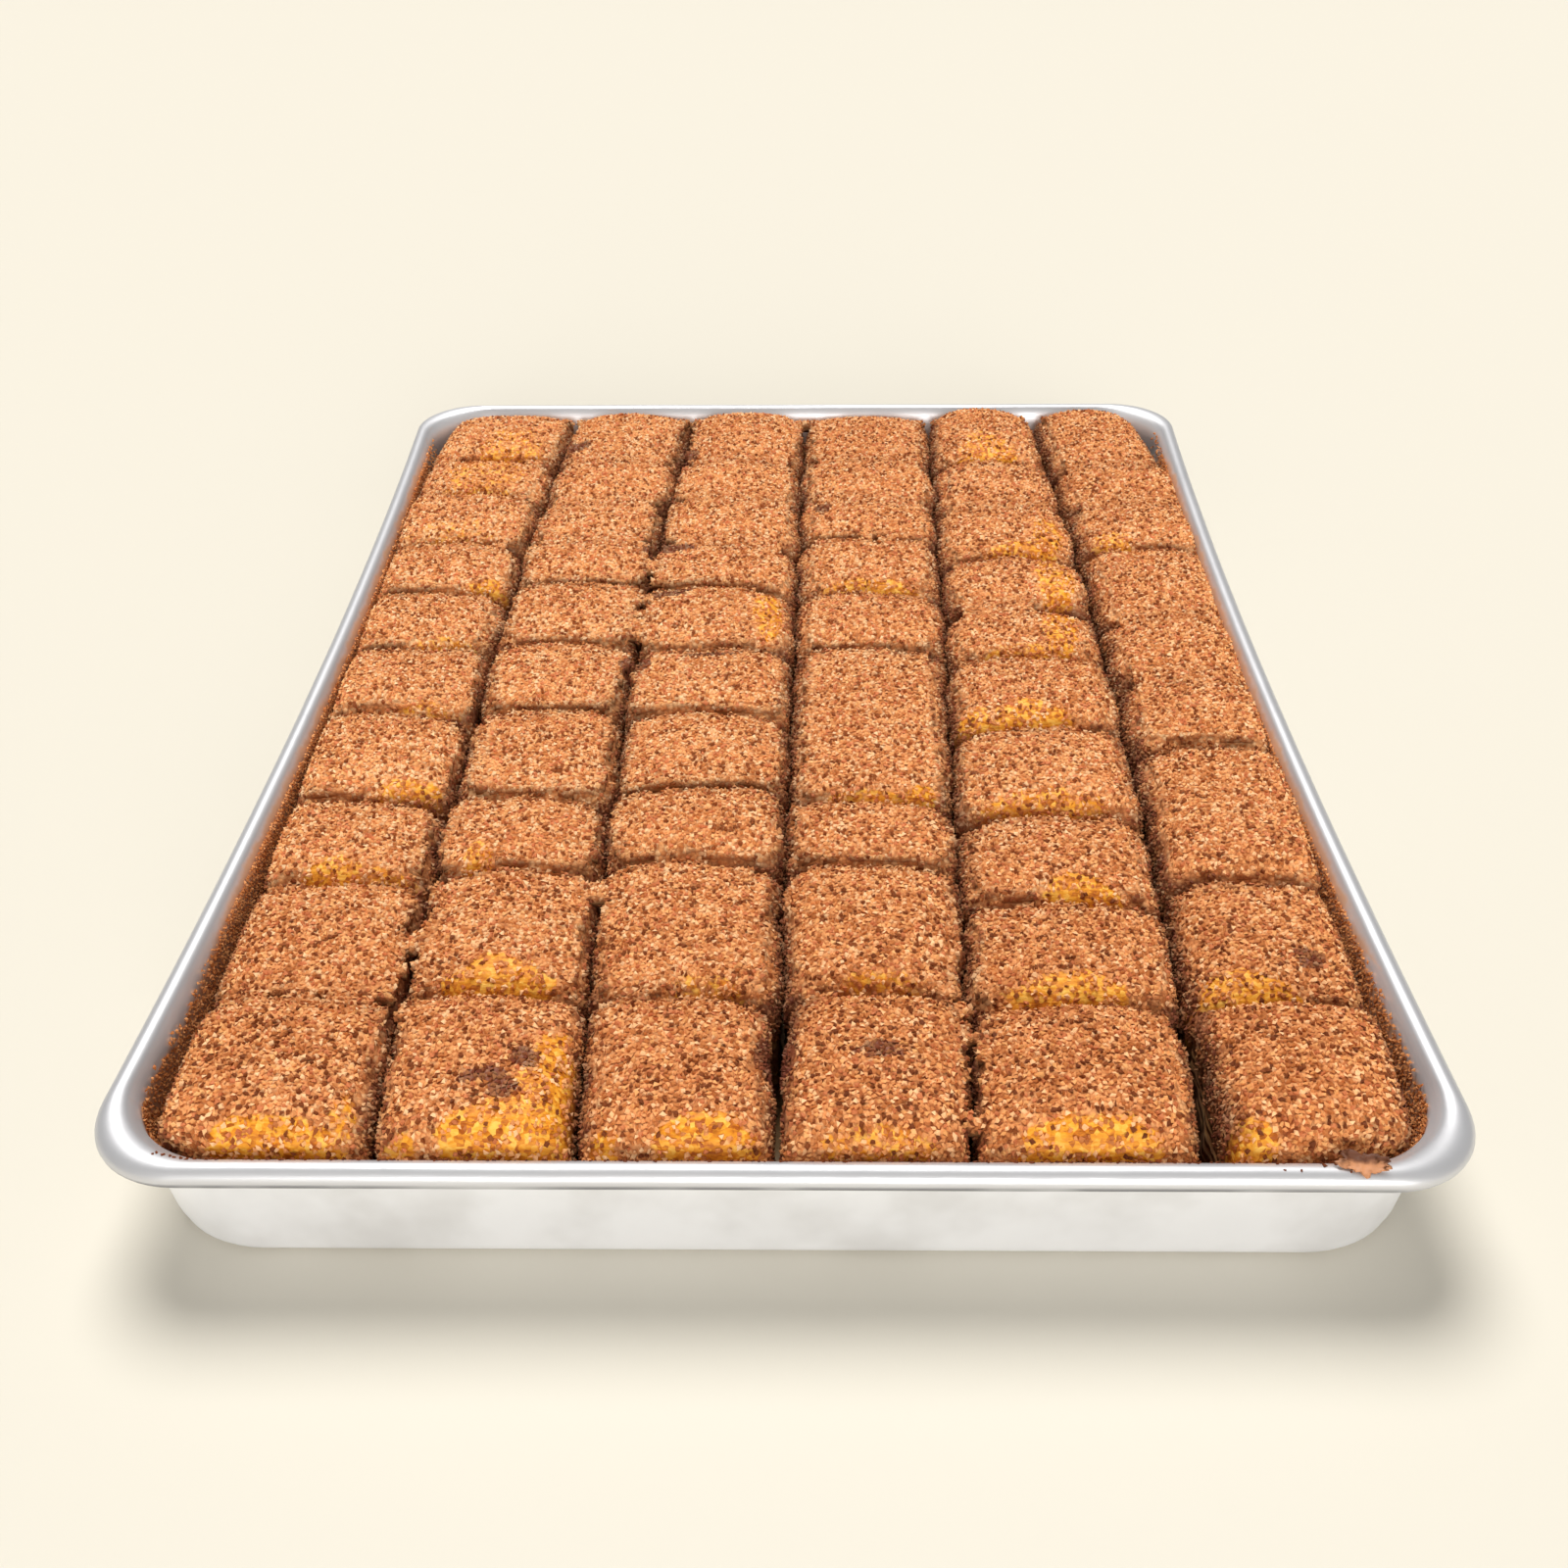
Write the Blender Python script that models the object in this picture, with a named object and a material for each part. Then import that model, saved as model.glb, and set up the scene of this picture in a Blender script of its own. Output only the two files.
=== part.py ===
"""A tray of cold milk baklava: hand-cut pillows of soaked pastry in a half-size aluminium baking tray.

The origin is at the middle of the tray's underside, +Y runs along the tray away from the near end,
and +Z is up. The columns are numbered from the left and the pieces of a column from the near end.
"""

import math
import random

import bmesh
import bpy
from mathutils import Vector, noise

MM = 0.001

# The tray, pressed from one sheet, with a rolled rim and long sides that bow inwards a little
TRAY_WIDTH = 330 * MM
TRAY_LENGTH = 457 * MM
TRAY_HEIGHT = 38 * MM
SHEET = 1.0 * MM
RIM_WIDTH = 6.4 * MM
RIM_THICKNESS = 6.6 * MM
WALL_TOP = 30.5 * MM
BASE_INSET = 9.2 * MM
RIM_CORNER = 24 * MM
CORNER_SPREAD = 0.4
BOTTOM_BEND = 3.5 * MM
SIDE_BOW = 6 * MM
CORNER_STEPS = 6
SIDE_STEPS = 6
BEND_STEPS = 2
RIM_TURNS = (-120, -90, -45, 0, 45, 90, 135)

# The food: where the knife went along the tray, as x at the near end, the middle and the far end
FOOD_LEFT = (-149 * MM, -150 * MM, -155 * MM)
FOOD_RIGHT = (150 * MM, 152.6 * MM, 156 * MM)
CUTS = (
    FOOD_LEFT,
    (-96 * MM, -102 * MM, -96 * MM),
    (-48 * MM, -53 * MM, -44 * MM),
    (-1 * MM, 1 * MM, 5 * MM),
    (45 * MM, 53 * MM, 59 * MM),
    (100 * MM, 108 * MM, 104 * MM),
    FOOD_RIGHT,
)
CUT_WIDTHS = (1.0 * MM, 0.6 * MM, 0.7 * MM, 0.8 * MM, 0.7 * MM, 1.6 * MM, 1.0 * MM)
FOOD_NEAR = -220.9 * MM
FOOD_FAR = (217 * MM, 217 * MM, 217 * MM, 217 * MM, 218 * MM, 218 * MM)

# Where each column was cut across, in millimetres along Y. Two pieces were left long
CROSS_CUTS = (
    (-170, -120, -79, -33, 10, 51, 88, 131, 168),
    (-168, -114, -77, -28, 14, 57, 91, 127, 164),
    (-169, -110, -74, -31, 10, 54, 90, 127, 163),
    (-168, -112, -80, 13, 52, 94, 127, 164),
    (-171, -127, -86, -40, 4, 41, 76, 121, 162),
    (-171, -119, -50, -9, 31, 84, 122, 160),
)
CROSS_CUT_WIDTH = 0.6 * MM
CROSS_CUT_SLANT = 1.4 * MM
CUT_WANDER = 0.6 * MM
WANDER_SIZE = 17 * MM

# Corners that stand further from their cut, as (column, row): (near left, far left, near right, far right)
OPEN_CORNERS = {
    (6, 1): (3.2 * MM, 0.6 * MM, 1.5 * MM, 0),
    (5, 1): (0, 0, 1.2 * MM, 1.8 * MM),
    (3, 1): (0, 0, 0, 1.8 * MM),
    (4, 1): (0, 1.8 * MM, 0, 0),
    (1, 10): (0, 5.0 * MM, 0, 0),
    (6, 9): (0, 0, 0, 7.0 * MM),
}

# Heights of the food above the table, and how a piece's top is rounded
TOP_NEAR = 45 * MM
TOP_SECOND = 43 * MM
TOP_MIDDLE = 42 * MM
TOP_FAR = 40.8 * MM
PEAKS = {(5, 10): 43.2 * MM, (6, 9): 42.2 * MM}
PEAK_ACROSS = 9 * MM
HEIGHT_SPREAD = 1.0 * MM
TILT_SPREAD = 0.022
SHOULDER_WIDTH = 9 * MM
SHOULDER_DROP = 7.5 * MM
SHOULDER_STEPS = (0, 0.12, 0.48, 1.2)
PRESSED_SHOULDER = 4 * MM
PRESSED_ROWS = range(3, 9)
CROWN_ACROSS = 5.4 * MM
CROWN_ALONG = 2.6 * MM
CORNER_PULL = 0.06
LUMP_SIZE = 12 * MM
LUMP_HEIGHT = 1.8 * MM
LONG_PIECE = 60 * MM
CELLS_ACROSS = 2
CELLS_ALONG = 1
CELLS_ALONG_LONG_PIECE = 4

# The air gap that touching pieces keep, and the seed for what varies from piece to piece
GAP = 0.3 * MM
SEED = 41

ALUMINIUM = (0.86, 0.86, 0.85)
GROUND_CHOCOLATE = (0.68, 0.32, 0.14)


def clear_scene():
    for thing in list(bpy.data.objects):
        bpy.data.objects.remove(thing, do_unlink=True)


def make_material(name, colour, metallic, roughness):
    material = bpy.data.materials.new(name)
    material.use_nodes = True
    shader = material.node_tree.nodes["Principled BSDF"]
    shader.inputs["Base Color"].default_value = (*colour, 1)
    shader.inputs["Metallic"].default_value = metallic
    shader.inputs["Roughness"].default_value = roughness
    return material


def add_object(name, mesh_builder, material, sharp_angle):
    """Turns a finished bmesh into a named object with one material, its place in its mesh."""
    bmesh.ops.recalc_face_normals(mesh_builder, faces=mesh_builder.faces)
    mesh = bpy.data.meshes.new(name)
    mesh_builder.to_mesh(mesh)
    mesh_builder.free()
    mesh.materials.append(material)
    mesh.shade_smooth()
    mesh.set_sharp_from_angle(angle=math.radians(sharp_angle))
    thing = bpy.data.objects.new(name, mesh)
    bpy.context.scene.collection.objects.link(thing)
    return thing


# The tray


def bow_scale(y):
    """How much the bowed long sides narrow the tray at y: 1 at its ends."""
    along = y / (TRAY_LENGTH / 2)
    return 1 - SIDE_BOW * (1 - along * along) / (TRAY_WIDTH / 2)


def corner_radius(inset):
    """The corner's radius. The walls turn more widely than the rim above them."""
    return RIM_CORNER + CORNER_SPREAD * inset


def tray_ring(inset, z):
    """The tray's rounded outline at a height, as far inside the rim's outer edge as inset says."""
    half_width = TRAY_WIDTH / 2 - inset
    half_length = TRAY_LENGTH / 2 - inset
    radius = corner_radius(inset)
    points = []
    for quarter, (side_x, side_y) in enumerate(((1, 1), (-1, 1), (-1, -1), (1, -1))):
        centre_x = side_x * (half_width - radius)
        centre_y = side_y * (half_length - radius)
        for step in range(CORNER_STEPS + 1):
            turn = math.radians(90) * (quarter + step / CORNER_STEPS)
            points.append((centre_x + radius * math.cos(turn), centre_y + radius * math.sin(turn)))
        if side_x != side_y:
            for step in range(1, SIDE_STEPS):
                points.append((side_x * half_width, centre_y * (1 - 2 * step / SIDE_STEPS)))
    return [Vector((x * bow_scale(y), y, z)) for x, y in points]


def wall_inset(z):
    """How far inside the rim's outer edge the wall's outer face is at a height."""
    share = min(z / WALL_TOP, 1)
    return BASE_INSET + (RIM_WIDTH - BASE_INSET) * share


def tray_profile():
    """(inset, z) from the middle of the underside, out, over the rim and back in to the floor."""
    half_rim = RIM_WIDTH / 2
    half_thickness = RIM_THICKNESS / 2
    outer_bend = [
        (wall_inset(0) + BOTTOM_BEND * (1 - math.sin(turn)), BOTTOM_BEND * (1 - math.cos(turn)))
        for turn in (math.radians(90) * step / BEND_STEPS for step in range(BEND_STEPS + 1))
    ]
    rim = [
        (
            half_rim * (1 - math.cos(math.radians(turn))),
            TRAY_HEIGHT - half_thickness * (1 - math.sin(math.radians(turn))),
        )
        for turn in RIM_TURNS
    ]
    outer_top = (RIM_WIDTH, WALL_TOP)
    inner_top = (RIM_WIDTH + SHEET, WALL_TOP)
    inner_curl = (RIM_WIDTH + SHEET / 2, TRAY_HEIGHT - half_thickness)
    inner_radius = BOTTOM_BEND - SHEET
    inner_bend = [
        (
            wall_inset(0) + SHEET + inner_radius * (1 - math.sin(turn)),
            SHEET + inner_radius * (1 - math.cos(turn)),
        )
        for turn in (math.radians(90) * (1 - step / BEND_STEPS) for step in range(BEND_STEPS + 1))
    ]
    return outer_bend + [outer_top] + rim + [inner_curl, inner_top] + inner_bend


def make_tray(material):
    builder = bmesh.new()
    rings = [
        [builder.verts.new(point) for point in tray_ring(inset, z)]
        for inset, z in tray_profile()
    ]
    for lower, upper in zip(rings, rings[1:]):
        for index in range(len(lower)):
            after = (index + 1) % len(lower)
            builder.faces.new((lower[index], lower[after], upper[after], upper[index]))
    builder.faces.new(list(reversed(rings[0])))
    builder.faces.new(rings[-1])
    return add_object("tray", builder, material, sharp_angle=40)


# The pieces of baklava


def line_at(line, y):
    """x of a hand-cut line at y: a smooth curve through its near, middle and far points."""
    near, middle, far = line
    t = (y - FOOD_NEAR) / (FOOD_FAR[0] - FOOD_NEAR)
    return near * (1 - t) * (1 - 2 * t) + 4 * middle * t * (1 - t) + far * t * (2 * t - 1)


def keep_in_tray(x, y, z):
    """Moves a point of the food inwards where it would reach the tray's wall, corner or bottom bend."""
    bend = max(0, BOTTOM_BEND - z)
    inset = wall_inset(z) + SHEET + 2 * GAP + bend
    radius = corner_radius(inset)
    straight_x = TRAY_WIDTH / 2 - inset - radius
    straight_y = TRAY_LENGTH / 2 - inset - radius
    past = Vector((abs(x) / bow_scale(y) - straight_x, abs(y) - straight_y))
    if past.x > 0 and past.y > 0 and past.length > radius:
        past *= radius / past.length
    kept_x = straight_x + min(past.x, radius)
    kept_y = straight_y + min(past.y, radius)
    return Vector((math.copysign(kept_x * bow_scale(y), x), math.copysign(kept_y, y), z))


def stations(length, cells_between):
    """Distances across a piece from cut to cut, close together over the shoulders and even between."""
    rise = [share * SHOULDER_WIDTH for share in SHOULDER_STEPS]
    between = (length - 2 * rise[-1]) / cells_between
    middle = [rise[-1] + between * step for step in range(1, cells_between)]
    return rise + middle + [length - distance for distance in reversed(rise)]


def shoulder(distance, width):
    """How far up a piece's rounded shoulder a point is: 0 at the cut, 1 on the top."""
    reach = min(distance / width, 1)
    return math.sqrt(1 - (1 - reach) ** 2)


def pressed_sides(column, row, rows):
    """Whether a piece is pressed steeply against the tray's wall on its left, right and far side."""
    left = column == 1 and row in PRESSED_ROWS
    right = column == len(CROSS_CUTS) and row in PRESSED_ROWS
    return left, right, row == rows


def wander(y, crown, side):
    """How far a cut side draws in at y, because the pastry doesn't tear straight."""
    return CUT_WANDER * (0.5 + 0.5 * noise.noise(Vector((y / WANDER_SIZE, crown / MM, side))))


def crown_height(row, rows):
    if row == 1:
        return TOP_NEAR
    if row == 2:
        return TOP_SECOND
    return TOP_FAR if row == rows else TOP_MIDDLE


def cross_cut(column, row, across, slants):
    """y of the cut on the near side of a row. It runs at a slight slant."""
    places = [FOOD_NEAR] + [y * MM for y in CROSS_CUTS[column - 1]] + [FOOD_FAR[column - 1]]
    return places[row - 1] + slants[row - 1] * (2 * across - 1)


def make_piece(column, row, rows, slants, material):
    """One pillow: a rounded, lumpy top over straight cut sides that stand on the tray's floor."""
    chance = random.Random(SEED * 1000 + column * 20 + row)
    crown = crown_height(row, rows) + chance.uniform(-HEIGHT_SPREAD, HEIGHT_SPREAD)
    crown = PEAKS.get((column, row), crown)
    crown_across = PEAK_ACROSS if (column, row) in PEAKS else CROWN_ACROSS
    pressed_left, pressed_right, pressed_far = pressed_sides(column, row, rows)
    left_shoulder = PRESSED_SHOULDER if pressed_left else SHOULDER_WIDTH
    right_shoulder = PRESSED_SHOULDER if pressed_right else SHOULDER_WIDTH
    far_shoulder = PRESSED_SHOULDER if pressed_far else SHOULDER_WIDTH
    tilt_across = chance.uniform(-TILT_SPREAD, TILT_SPREAD)
    tilt_along = chance.uniform(-TILT_SPREAD, TILT_SPREAD)
    near_left, far_left, near_right, far_right = OPEN_CORNERS.get((column, row), (0, 0, 0, 0))
    length = cross_cut(column, row + 1, 0.5, slants) - cross_cut(column, row, 0.5, slants)
    middle_y = cross_cut(column, row, 0.5, slants) + length / 2
    left_gap = CUT_WIDTHS[column - 1] / 2
    right_gap = CUT_WIDTHS[column] / 2
    width = line_at(CUTS[column], middle_y) - line_at(CUTS[column - 1], middle_y)
    steps_across = stations(width - left_gap - right_gap, CELLS_ACROSS)
    cells_along = CELLS_ALONG_LONG_PIECE if length > LONG_PIECE else CELLS_ALONG
    steps_along = stations(length - CROSS_CUT_WIDTH, cells_along)

    def top_point(across_distance, along_distance):
        across = across_distance / steps_across[-1]
        along = along_distance / steps_along[-1]
        u = 2 * across - 1
        v = 2 * along - 1
        pulled_across = (1 + u * math.sqrt(1 - CORNER_PULL * v * v)) / 2
        pulled_along = (1 + v * math.sqrt(1 - CORNER_PULL * u * u)) / 2
        near_y = cross_cut(column, row, pulled_across, slants) + CROSS_CUT_WIDTH / 2
        far_y = cross_cut(column, row + 1, pulled_across, slants) - CROSS_CUT_WIDTH / 2
        y = near_y + (far_y - near_y) * pulled_along
        left = left_gap + near_left + (far_left - near_left) * pulled_along
        right = right_gap + near_right + (far_right - near_right) * pulled_along
        left_x = line_at(CUTS[column - 1], y) + left + wander(y, crown, -1)
        right_x = line_at(CUTS[column], y) - right - wander(y, crown, 1)
        x = left_x + (right_x - left_x) * pulled_across
        up_left = shoulder(across_distance, left_shoulder)
        up_right = shoulder(steps_across[-1] - across_distance, right_shoulder)
        up_near = shoulder(along_distance, SHOULDER_WIDTH)
        up_far = shoulder(steps_along[-1] - along_distance, far_shoulder)
        rounded = min(up_left, up_right) * min(up_near, up_far)
        flat = pressed_left and u < 0 or pressed_right and u > 0
        fall_across = 0 if flat else crown_across * u * u / 2
        z = crown - SHOULDER_DROP * (1 - rounded) - fall_across - CROWN_ALONG * v * v / 2
        z += tilt_across * (x - (left_x + right_x) / 2) + tilt_along * (y - middle_y)
        z += LUMP_HEIGHT * rounded * noise.noise(Vector((x, y, crown)) / LUMP_SIZE)
        return keep_in_tray(x, y, z)

    builder = bmesh.new()
    grid = [[builder.verts.new(top_point(a, b)) for b in steps_along] for a in steps_across]
    last_across = len(steps_across) - 1
    last_along = len(steps_along) - 1
    for i in range(last_across):
        for j in range(last_along):
            builder.faces.new((grid[i][j], grid[i + 1][j], grid[i + 1][j + 1], grid[i][j + 1]))
    border = (
        [grid[i][0] for i in range(last_across)]
        + [grid[last_across][j] for j in range(last_along)]
        + [grid[i][last_along] for i in range(last_across, 0, -1)]
        + [grid[0][j] for j in range(last_along, 0, -1)]
    )
    floor_z = SHEET + GAP
    feet = [builder.verts.new(keep_in_tray(top.co.x, top.co.y, floor_z)) for top in border]
    for index, top in enumerate(border):
        after = (index + 1) % len(border)
        builder.faces.new((feet[index], feet[after], border[after], top))
    builder.faces.new(list(reversed(feet)))
    return add_object(f"baklava_c{column}_r{row:02d}", builder, material, sharp_angle=50)


def make_column(column, material):
    rows = len(CROSS_CUTS[column - 1]) + 1
    chance = random.Random(SEED + column)
    inner = [chance.uniform(-CROSS_CUT_SLANT, CROSS_CUT_SLANT) for _ in range(rows - 1)]
    slants = [0, *inner, 0]
    return [make_piece(column, row, rows, slants, material) for row in range(1, rows + 1)]


def main():
    clear_scene()
    make_tray(make_material("pressed_aluminium", ALUMINIUM, metallic=1, roughness=0.35))
    for column in range(1, len(CROSS_CUTS) + 1):
        topping = make_material(f"ground_chocolate_{column}", GROUND_CHOCOLATE, metallic=0, roughness=0.8)
        make_column(column, topping)


main()
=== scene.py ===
# %% [markdown]
# # A tray of cold milk baklava
# This lesson dresses a plain model of a full baking tray: an aluminium tray with a rolled rim, and
# 58 hand-cut pillows of milk-soaked pastry under ground milk chocolate. The plain model gives the
# true size and place of every piece. We load it as a fixed frame and never move or change it: each
# dressed piece stands where its plain node stands.

# %% Load the plain model
import math
import random

import bmesh
import bpy
import numpy as np
from mathutils import Matrix, Vector, noise


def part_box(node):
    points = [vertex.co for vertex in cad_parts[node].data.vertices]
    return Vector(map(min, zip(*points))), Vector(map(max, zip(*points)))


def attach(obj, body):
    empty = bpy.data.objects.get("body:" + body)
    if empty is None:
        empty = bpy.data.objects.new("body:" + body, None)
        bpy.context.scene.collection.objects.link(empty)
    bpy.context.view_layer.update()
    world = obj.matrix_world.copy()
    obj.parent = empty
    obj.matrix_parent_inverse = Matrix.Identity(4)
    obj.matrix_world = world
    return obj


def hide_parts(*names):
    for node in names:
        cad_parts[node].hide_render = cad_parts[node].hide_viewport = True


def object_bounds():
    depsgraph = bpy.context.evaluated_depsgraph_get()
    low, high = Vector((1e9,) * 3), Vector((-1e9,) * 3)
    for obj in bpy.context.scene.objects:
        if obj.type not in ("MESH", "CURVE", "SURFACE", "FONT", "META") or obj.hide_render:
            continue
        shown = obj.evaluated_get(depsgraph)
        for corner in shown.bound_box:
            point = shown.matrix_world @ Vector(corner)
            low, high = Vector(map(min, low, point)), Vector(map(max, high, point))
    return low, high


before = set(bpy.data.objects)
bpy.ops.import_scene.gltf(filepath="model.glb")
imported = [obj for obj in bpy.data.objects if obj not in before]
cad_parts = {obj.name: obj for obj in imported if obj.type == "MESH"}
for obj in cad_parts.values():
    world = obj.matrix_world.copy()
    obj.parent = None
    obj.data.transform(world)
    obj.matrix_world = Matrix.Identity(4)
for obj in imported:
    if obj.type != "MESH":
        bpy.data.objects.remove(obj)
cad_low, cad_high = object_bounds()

MM = 0.001
SEED = 7
pillow_nodes = sorted(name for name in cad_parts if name.startswith("baklava_"))
print("pieces of baklava:", len(pillow_nodes))
print("plain model in mm:", [round(side / MM, 1) for side in cad_high - cad_low])

# %% [markdown]
# ## The camera
# The photograph looks down the length of the tray from above its near end. A camera could be aimed
# by eye, but a fit to the tray's rim gives it exactly: where it stands, how far it looks down and
# aside, how it rolls, and its lens.

# %% Place the camera
SENSOR = 36
LENS = 39.8
CAMERA_PLACE = Vector((6.5, -502.5, 334.2)) * MM
LOOK_DOWN = math.radians(34.48)
LOOK_ASIDE = math.radians(-1.0)
CAMERA_ROLL = math.radians(0.53)
CLIP_START = 10 * MM


def direction(aside, up):
    """The unit vector that is turned aside from +Y, and up, by two angles."""
    return Vector((math.sin(aside) * math.cos(up), math.cos(aside) * math.cos(up), math.sin(up)))


def add_object(name, data):
    """A new object in the scene, for a mesh, a light or a camera."""
    thing = bpy.data.objects.new(name, data)
    bpy.context.scene.collection.objects.link(thing)
    return thing


def place_camera():
    ahead = direction(LOOK_ASIDE, -LOOK_DOWN)
    level = Vector((math.cos(LOOK_ASIDE), -math.sin(LOOK_ASIDE), 0))
    down = ahead.cross(level)
    right = level * math.cos(CAMERA_ROLL) + down * math.sin(CAMERA_ROLL)
    below = down * math.cos(CAMERA_ROLL) - level * math.sin(CAMERA_ROLL)
    turn = Matrix((right, -below, -ahead)).transposed()
    data = bpy.data.cameras.new("photo_camera")
    data.sensor_width = SENSOR
    data.lens = LENS
    data.clip_start = CLIP_START
    camera = add_object("photo_camera", data)
    camera.matrix_world = Matrix.Translation(CAMERA_PLACE) @ turn.to_4x4()
    bpy.context.scene.camera = camera
    return camera


camera = place_camera()
print("camera at", [round(value, 3) for value in camera.matrix_world.translation])

# %% [markdown]
# ## Node trees written as Python
# Materials and Geometry Nodes are both trees of nodes. Building them node by node is long, so one
# small class wraps a socket and overloads the operators: `1 - mask` then adds a Math node. A board
# holds a tree and has one method for every other kind of node.

# %% Wires, and a board to plug them into
class Wire:
    """One output of a node. Sums written with it add Math nodes to its tree."""

    def __init__(self, socket):
        self.socket = socket

    def __getitem__(self, name):
        return Wire(self.socket.node.outputs[name])

    def __add__(self, other):
        return calculate("ADD", self, other)

    def __sub__(self, other):
        return calculate("SUBTRACT", self, other)

    def __rsub__(self, other):
        return calculate("SUBTRACT", other, self)

    def __mul__(self, other):
        return calculate("MULTIPLY", self, other)

    def __truediv__(self, other):
        return calculate("DIVIDE", self, other)

    __radd__ = __add__
    __rmul__ = __mul__


def plug(slot, value):
    """Links a wire to a node's input, or sets a plain value on it."""
    if isinstance(value, Wire):
        slot.id_data.links.new(value.socket, slot)
    else:
        slot.default_value = value


def plug_all(node, values):
    """Gives each named input of a node its value or wire."""
    for name, value in values.items():
        plug(node.inputs[name], value)


def calculate(operation, first, second):
    wire = first if isinstance(first, Wire) else second
    node = wire.socket.id_data.nodes.new("ShaderNodeMath")
    node.operation = operation
    plug(node.inputs[0], first)
    plug(node.inputs[1], second)
    return Wire(node.outputs[0])


class Board:
    """A node tree, with short ways to add the nodes that this lesson uses."""

    def __init__(self, tree):
        self.tree = tree

    def node(self, kind, settings=None, inputs=None, output=0):
        """Any node: its type, its settings, and the values or wires of its inputs."""
        node = self.tree.nodes.new(kind)
        for name, value in (settings or {}).items():
            if name == "stops":
                self.set_stops(node.color_ramp, value)
            else:
                setattr(node, name, value)
        plug_all(node, inputs or {})
        return Wire(node.outputs[output]) if node.outputs else node

    def set_stops(self, ramp, stops):
        while len(ramp.elements) < len(stops):
            ramp.elements.new(1)
        for element, (position, colour) in zip(ramp.elements, stops):
            element.position = position
            element.color = (*colour, 1)

    def mix(self, share, first, second):
        """A colour between two others. A plain colour is given as red, green and blue."""
        values = {6: first, 7: second}
        whole = {key: value if isinstance(value, Wire) else (*value, 1) for key, value in values.items()}
        return self.node("ShaderNodeMix", {"data_type": "RGBA"}, {0: share, **whole}, 2)

    def vector(self, operation, first, second):
        """Vector maths. SCALE takes a number second, and the others a vector."""
        second_input = 3 if operation == "SCALE" else 1
        output = 1 if operation == "DISTANCE" else 0
        inputs = {0: first, second_input: second}
        return self.node("ShaderNodeVectorMath", {"operation": operation}, inputs, output)

    def noise(self, place, size, detail=1.0):
        """Soft noise from 0 to 1 whose blobs are about as large as size."""
        inputs = {"Vector": place, "Scale": 1 / size, "Detail": detail}
        return self.node("ShaderNodeTexNoise", {}, inputs)

    def rise(self, value, low, high):
        """A smooth step: 0 below low and 1 above high."""
        settings = {"interpolation_type": "SMOOTHSTEP"}
        return self.node("ShaderNodeMapRange", settings, {"Value": value, "From Min": low, "From Max": high})

    def place(self):
        """Where a point of the piece lies, for a material."""
        return self.node("ShaderNodeTexCoord", {}, {}, "Object")

    def split(self, vector):
        """The three numbers of a vector, by name, as in split(place)["Z"]."""
        return self.node("ShaderNodeSeparateXYZ", {}, {0: vector})


def new_material(name):
    """A material, the board for its tree, and its shader."""
    material = bpy.data.materials.new(name)
    material.use_nodes = True
    return material, Board(material.node_tree), material.node_tree.nodes["Principled BSDF"]


print("boards are ready")

# %% [markdown]
# ## The studio
# The photograph's tray is cut out and set on plain cream with a soft shadow. A large cream floor
# gives that ground from every side. One wide soft sun from above and behind throws the short shadow
# in front of the tray. A second one, low in front, lights the tray's front wall and the shoulders
# that face the camera, and hardly touches the floor. The sky fills the rest, as a light tent would:
# brighter behind the photographer, and greyer at its sides, which draws the grey edges on bare
# metal. The standard view transform keeps the cream as bright as it is in the photograph.

# %% Floor, sky and sun
FLOOR_SIZE = 40
FLOOR_DROP = 0.2 * MM
FLOOR_CREAM = (0.77, 0.73, 0.635)
TENT_SIDE = (0.27, 0.268, 0.265)
TENT_FRONT = (0.64, 0.625, 0.60)
TENT_TURN = (0.05, 0.85)
SUN_COLOUR = (1.0, 0.985, 0.96)
SUNS = (
    ("soft_sun", 2.85, 34, 62, -14),
    ("front_light", 2.75, 36, 5, 172),
)


def make_mesh(name, builder, material=None):
    """Turns a finished bmesh into a mesh, with its finish if it is known."""
    mesh = bpy.data.meshes.new(name)
    builder.to_mesh(mesh)
    builder.free()
    if material:
        mesh.materials.append(material)
    return mesh


def make_floor():
    builder = bmesh.new()
    bmesh.ops.create_grid(builder, x_segments=2, y_segments=2, size=FLOOR_SIZE / 2)
    cream, _, shader = new_material("studio_cream")
    plug_all(shader, {"Base Color": (*FLOOR_CREAM, 1), "Roughness": 1, "Specular IOR Level": 0})
    floor = add_object("studio_floor", make_mesh("studio_floor", builder, cream))
    floor.location.z = -FLOOR_DROP


def make_sky():
    world = bpy.data.worlds.new("light_tent")
    world.use_nodes = True
    board = Board(world.node_tree)
    along = board.split(board.node("ShaderNodeTexCoord", {}, {}, "Generated"))["Y"]
    tent = board.mix(board.rise(0 - along, *TENT_TURN), TENT_SIDE, TENT_FRONT)
    plug(world.node_tree.nodes["Background"].inputs["Color"], tent)
    bpy.context.scene.world = world


def make_suns():
    for name, strength, width, height, aside in SUNS:
        data = bpy.data.lights.new(name, "SUN")
        data.energy = strength
        data.color = SUN_COLOUR
        data.angle = math.radians(width)
        towards = direction(math.radians(aside), math.radians(height))
        sun = add_object(name, data)
        sun.rotation_euler = towards.to_track_quat("Z", "Y").to_euler()


make_floor()
make_sky()
make_suns()
bpy.context.scene.view_settings.view_transform = "Standard"
print("suns, as name, strength, and width, height and turn in degrees:", SUNS)

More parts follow.
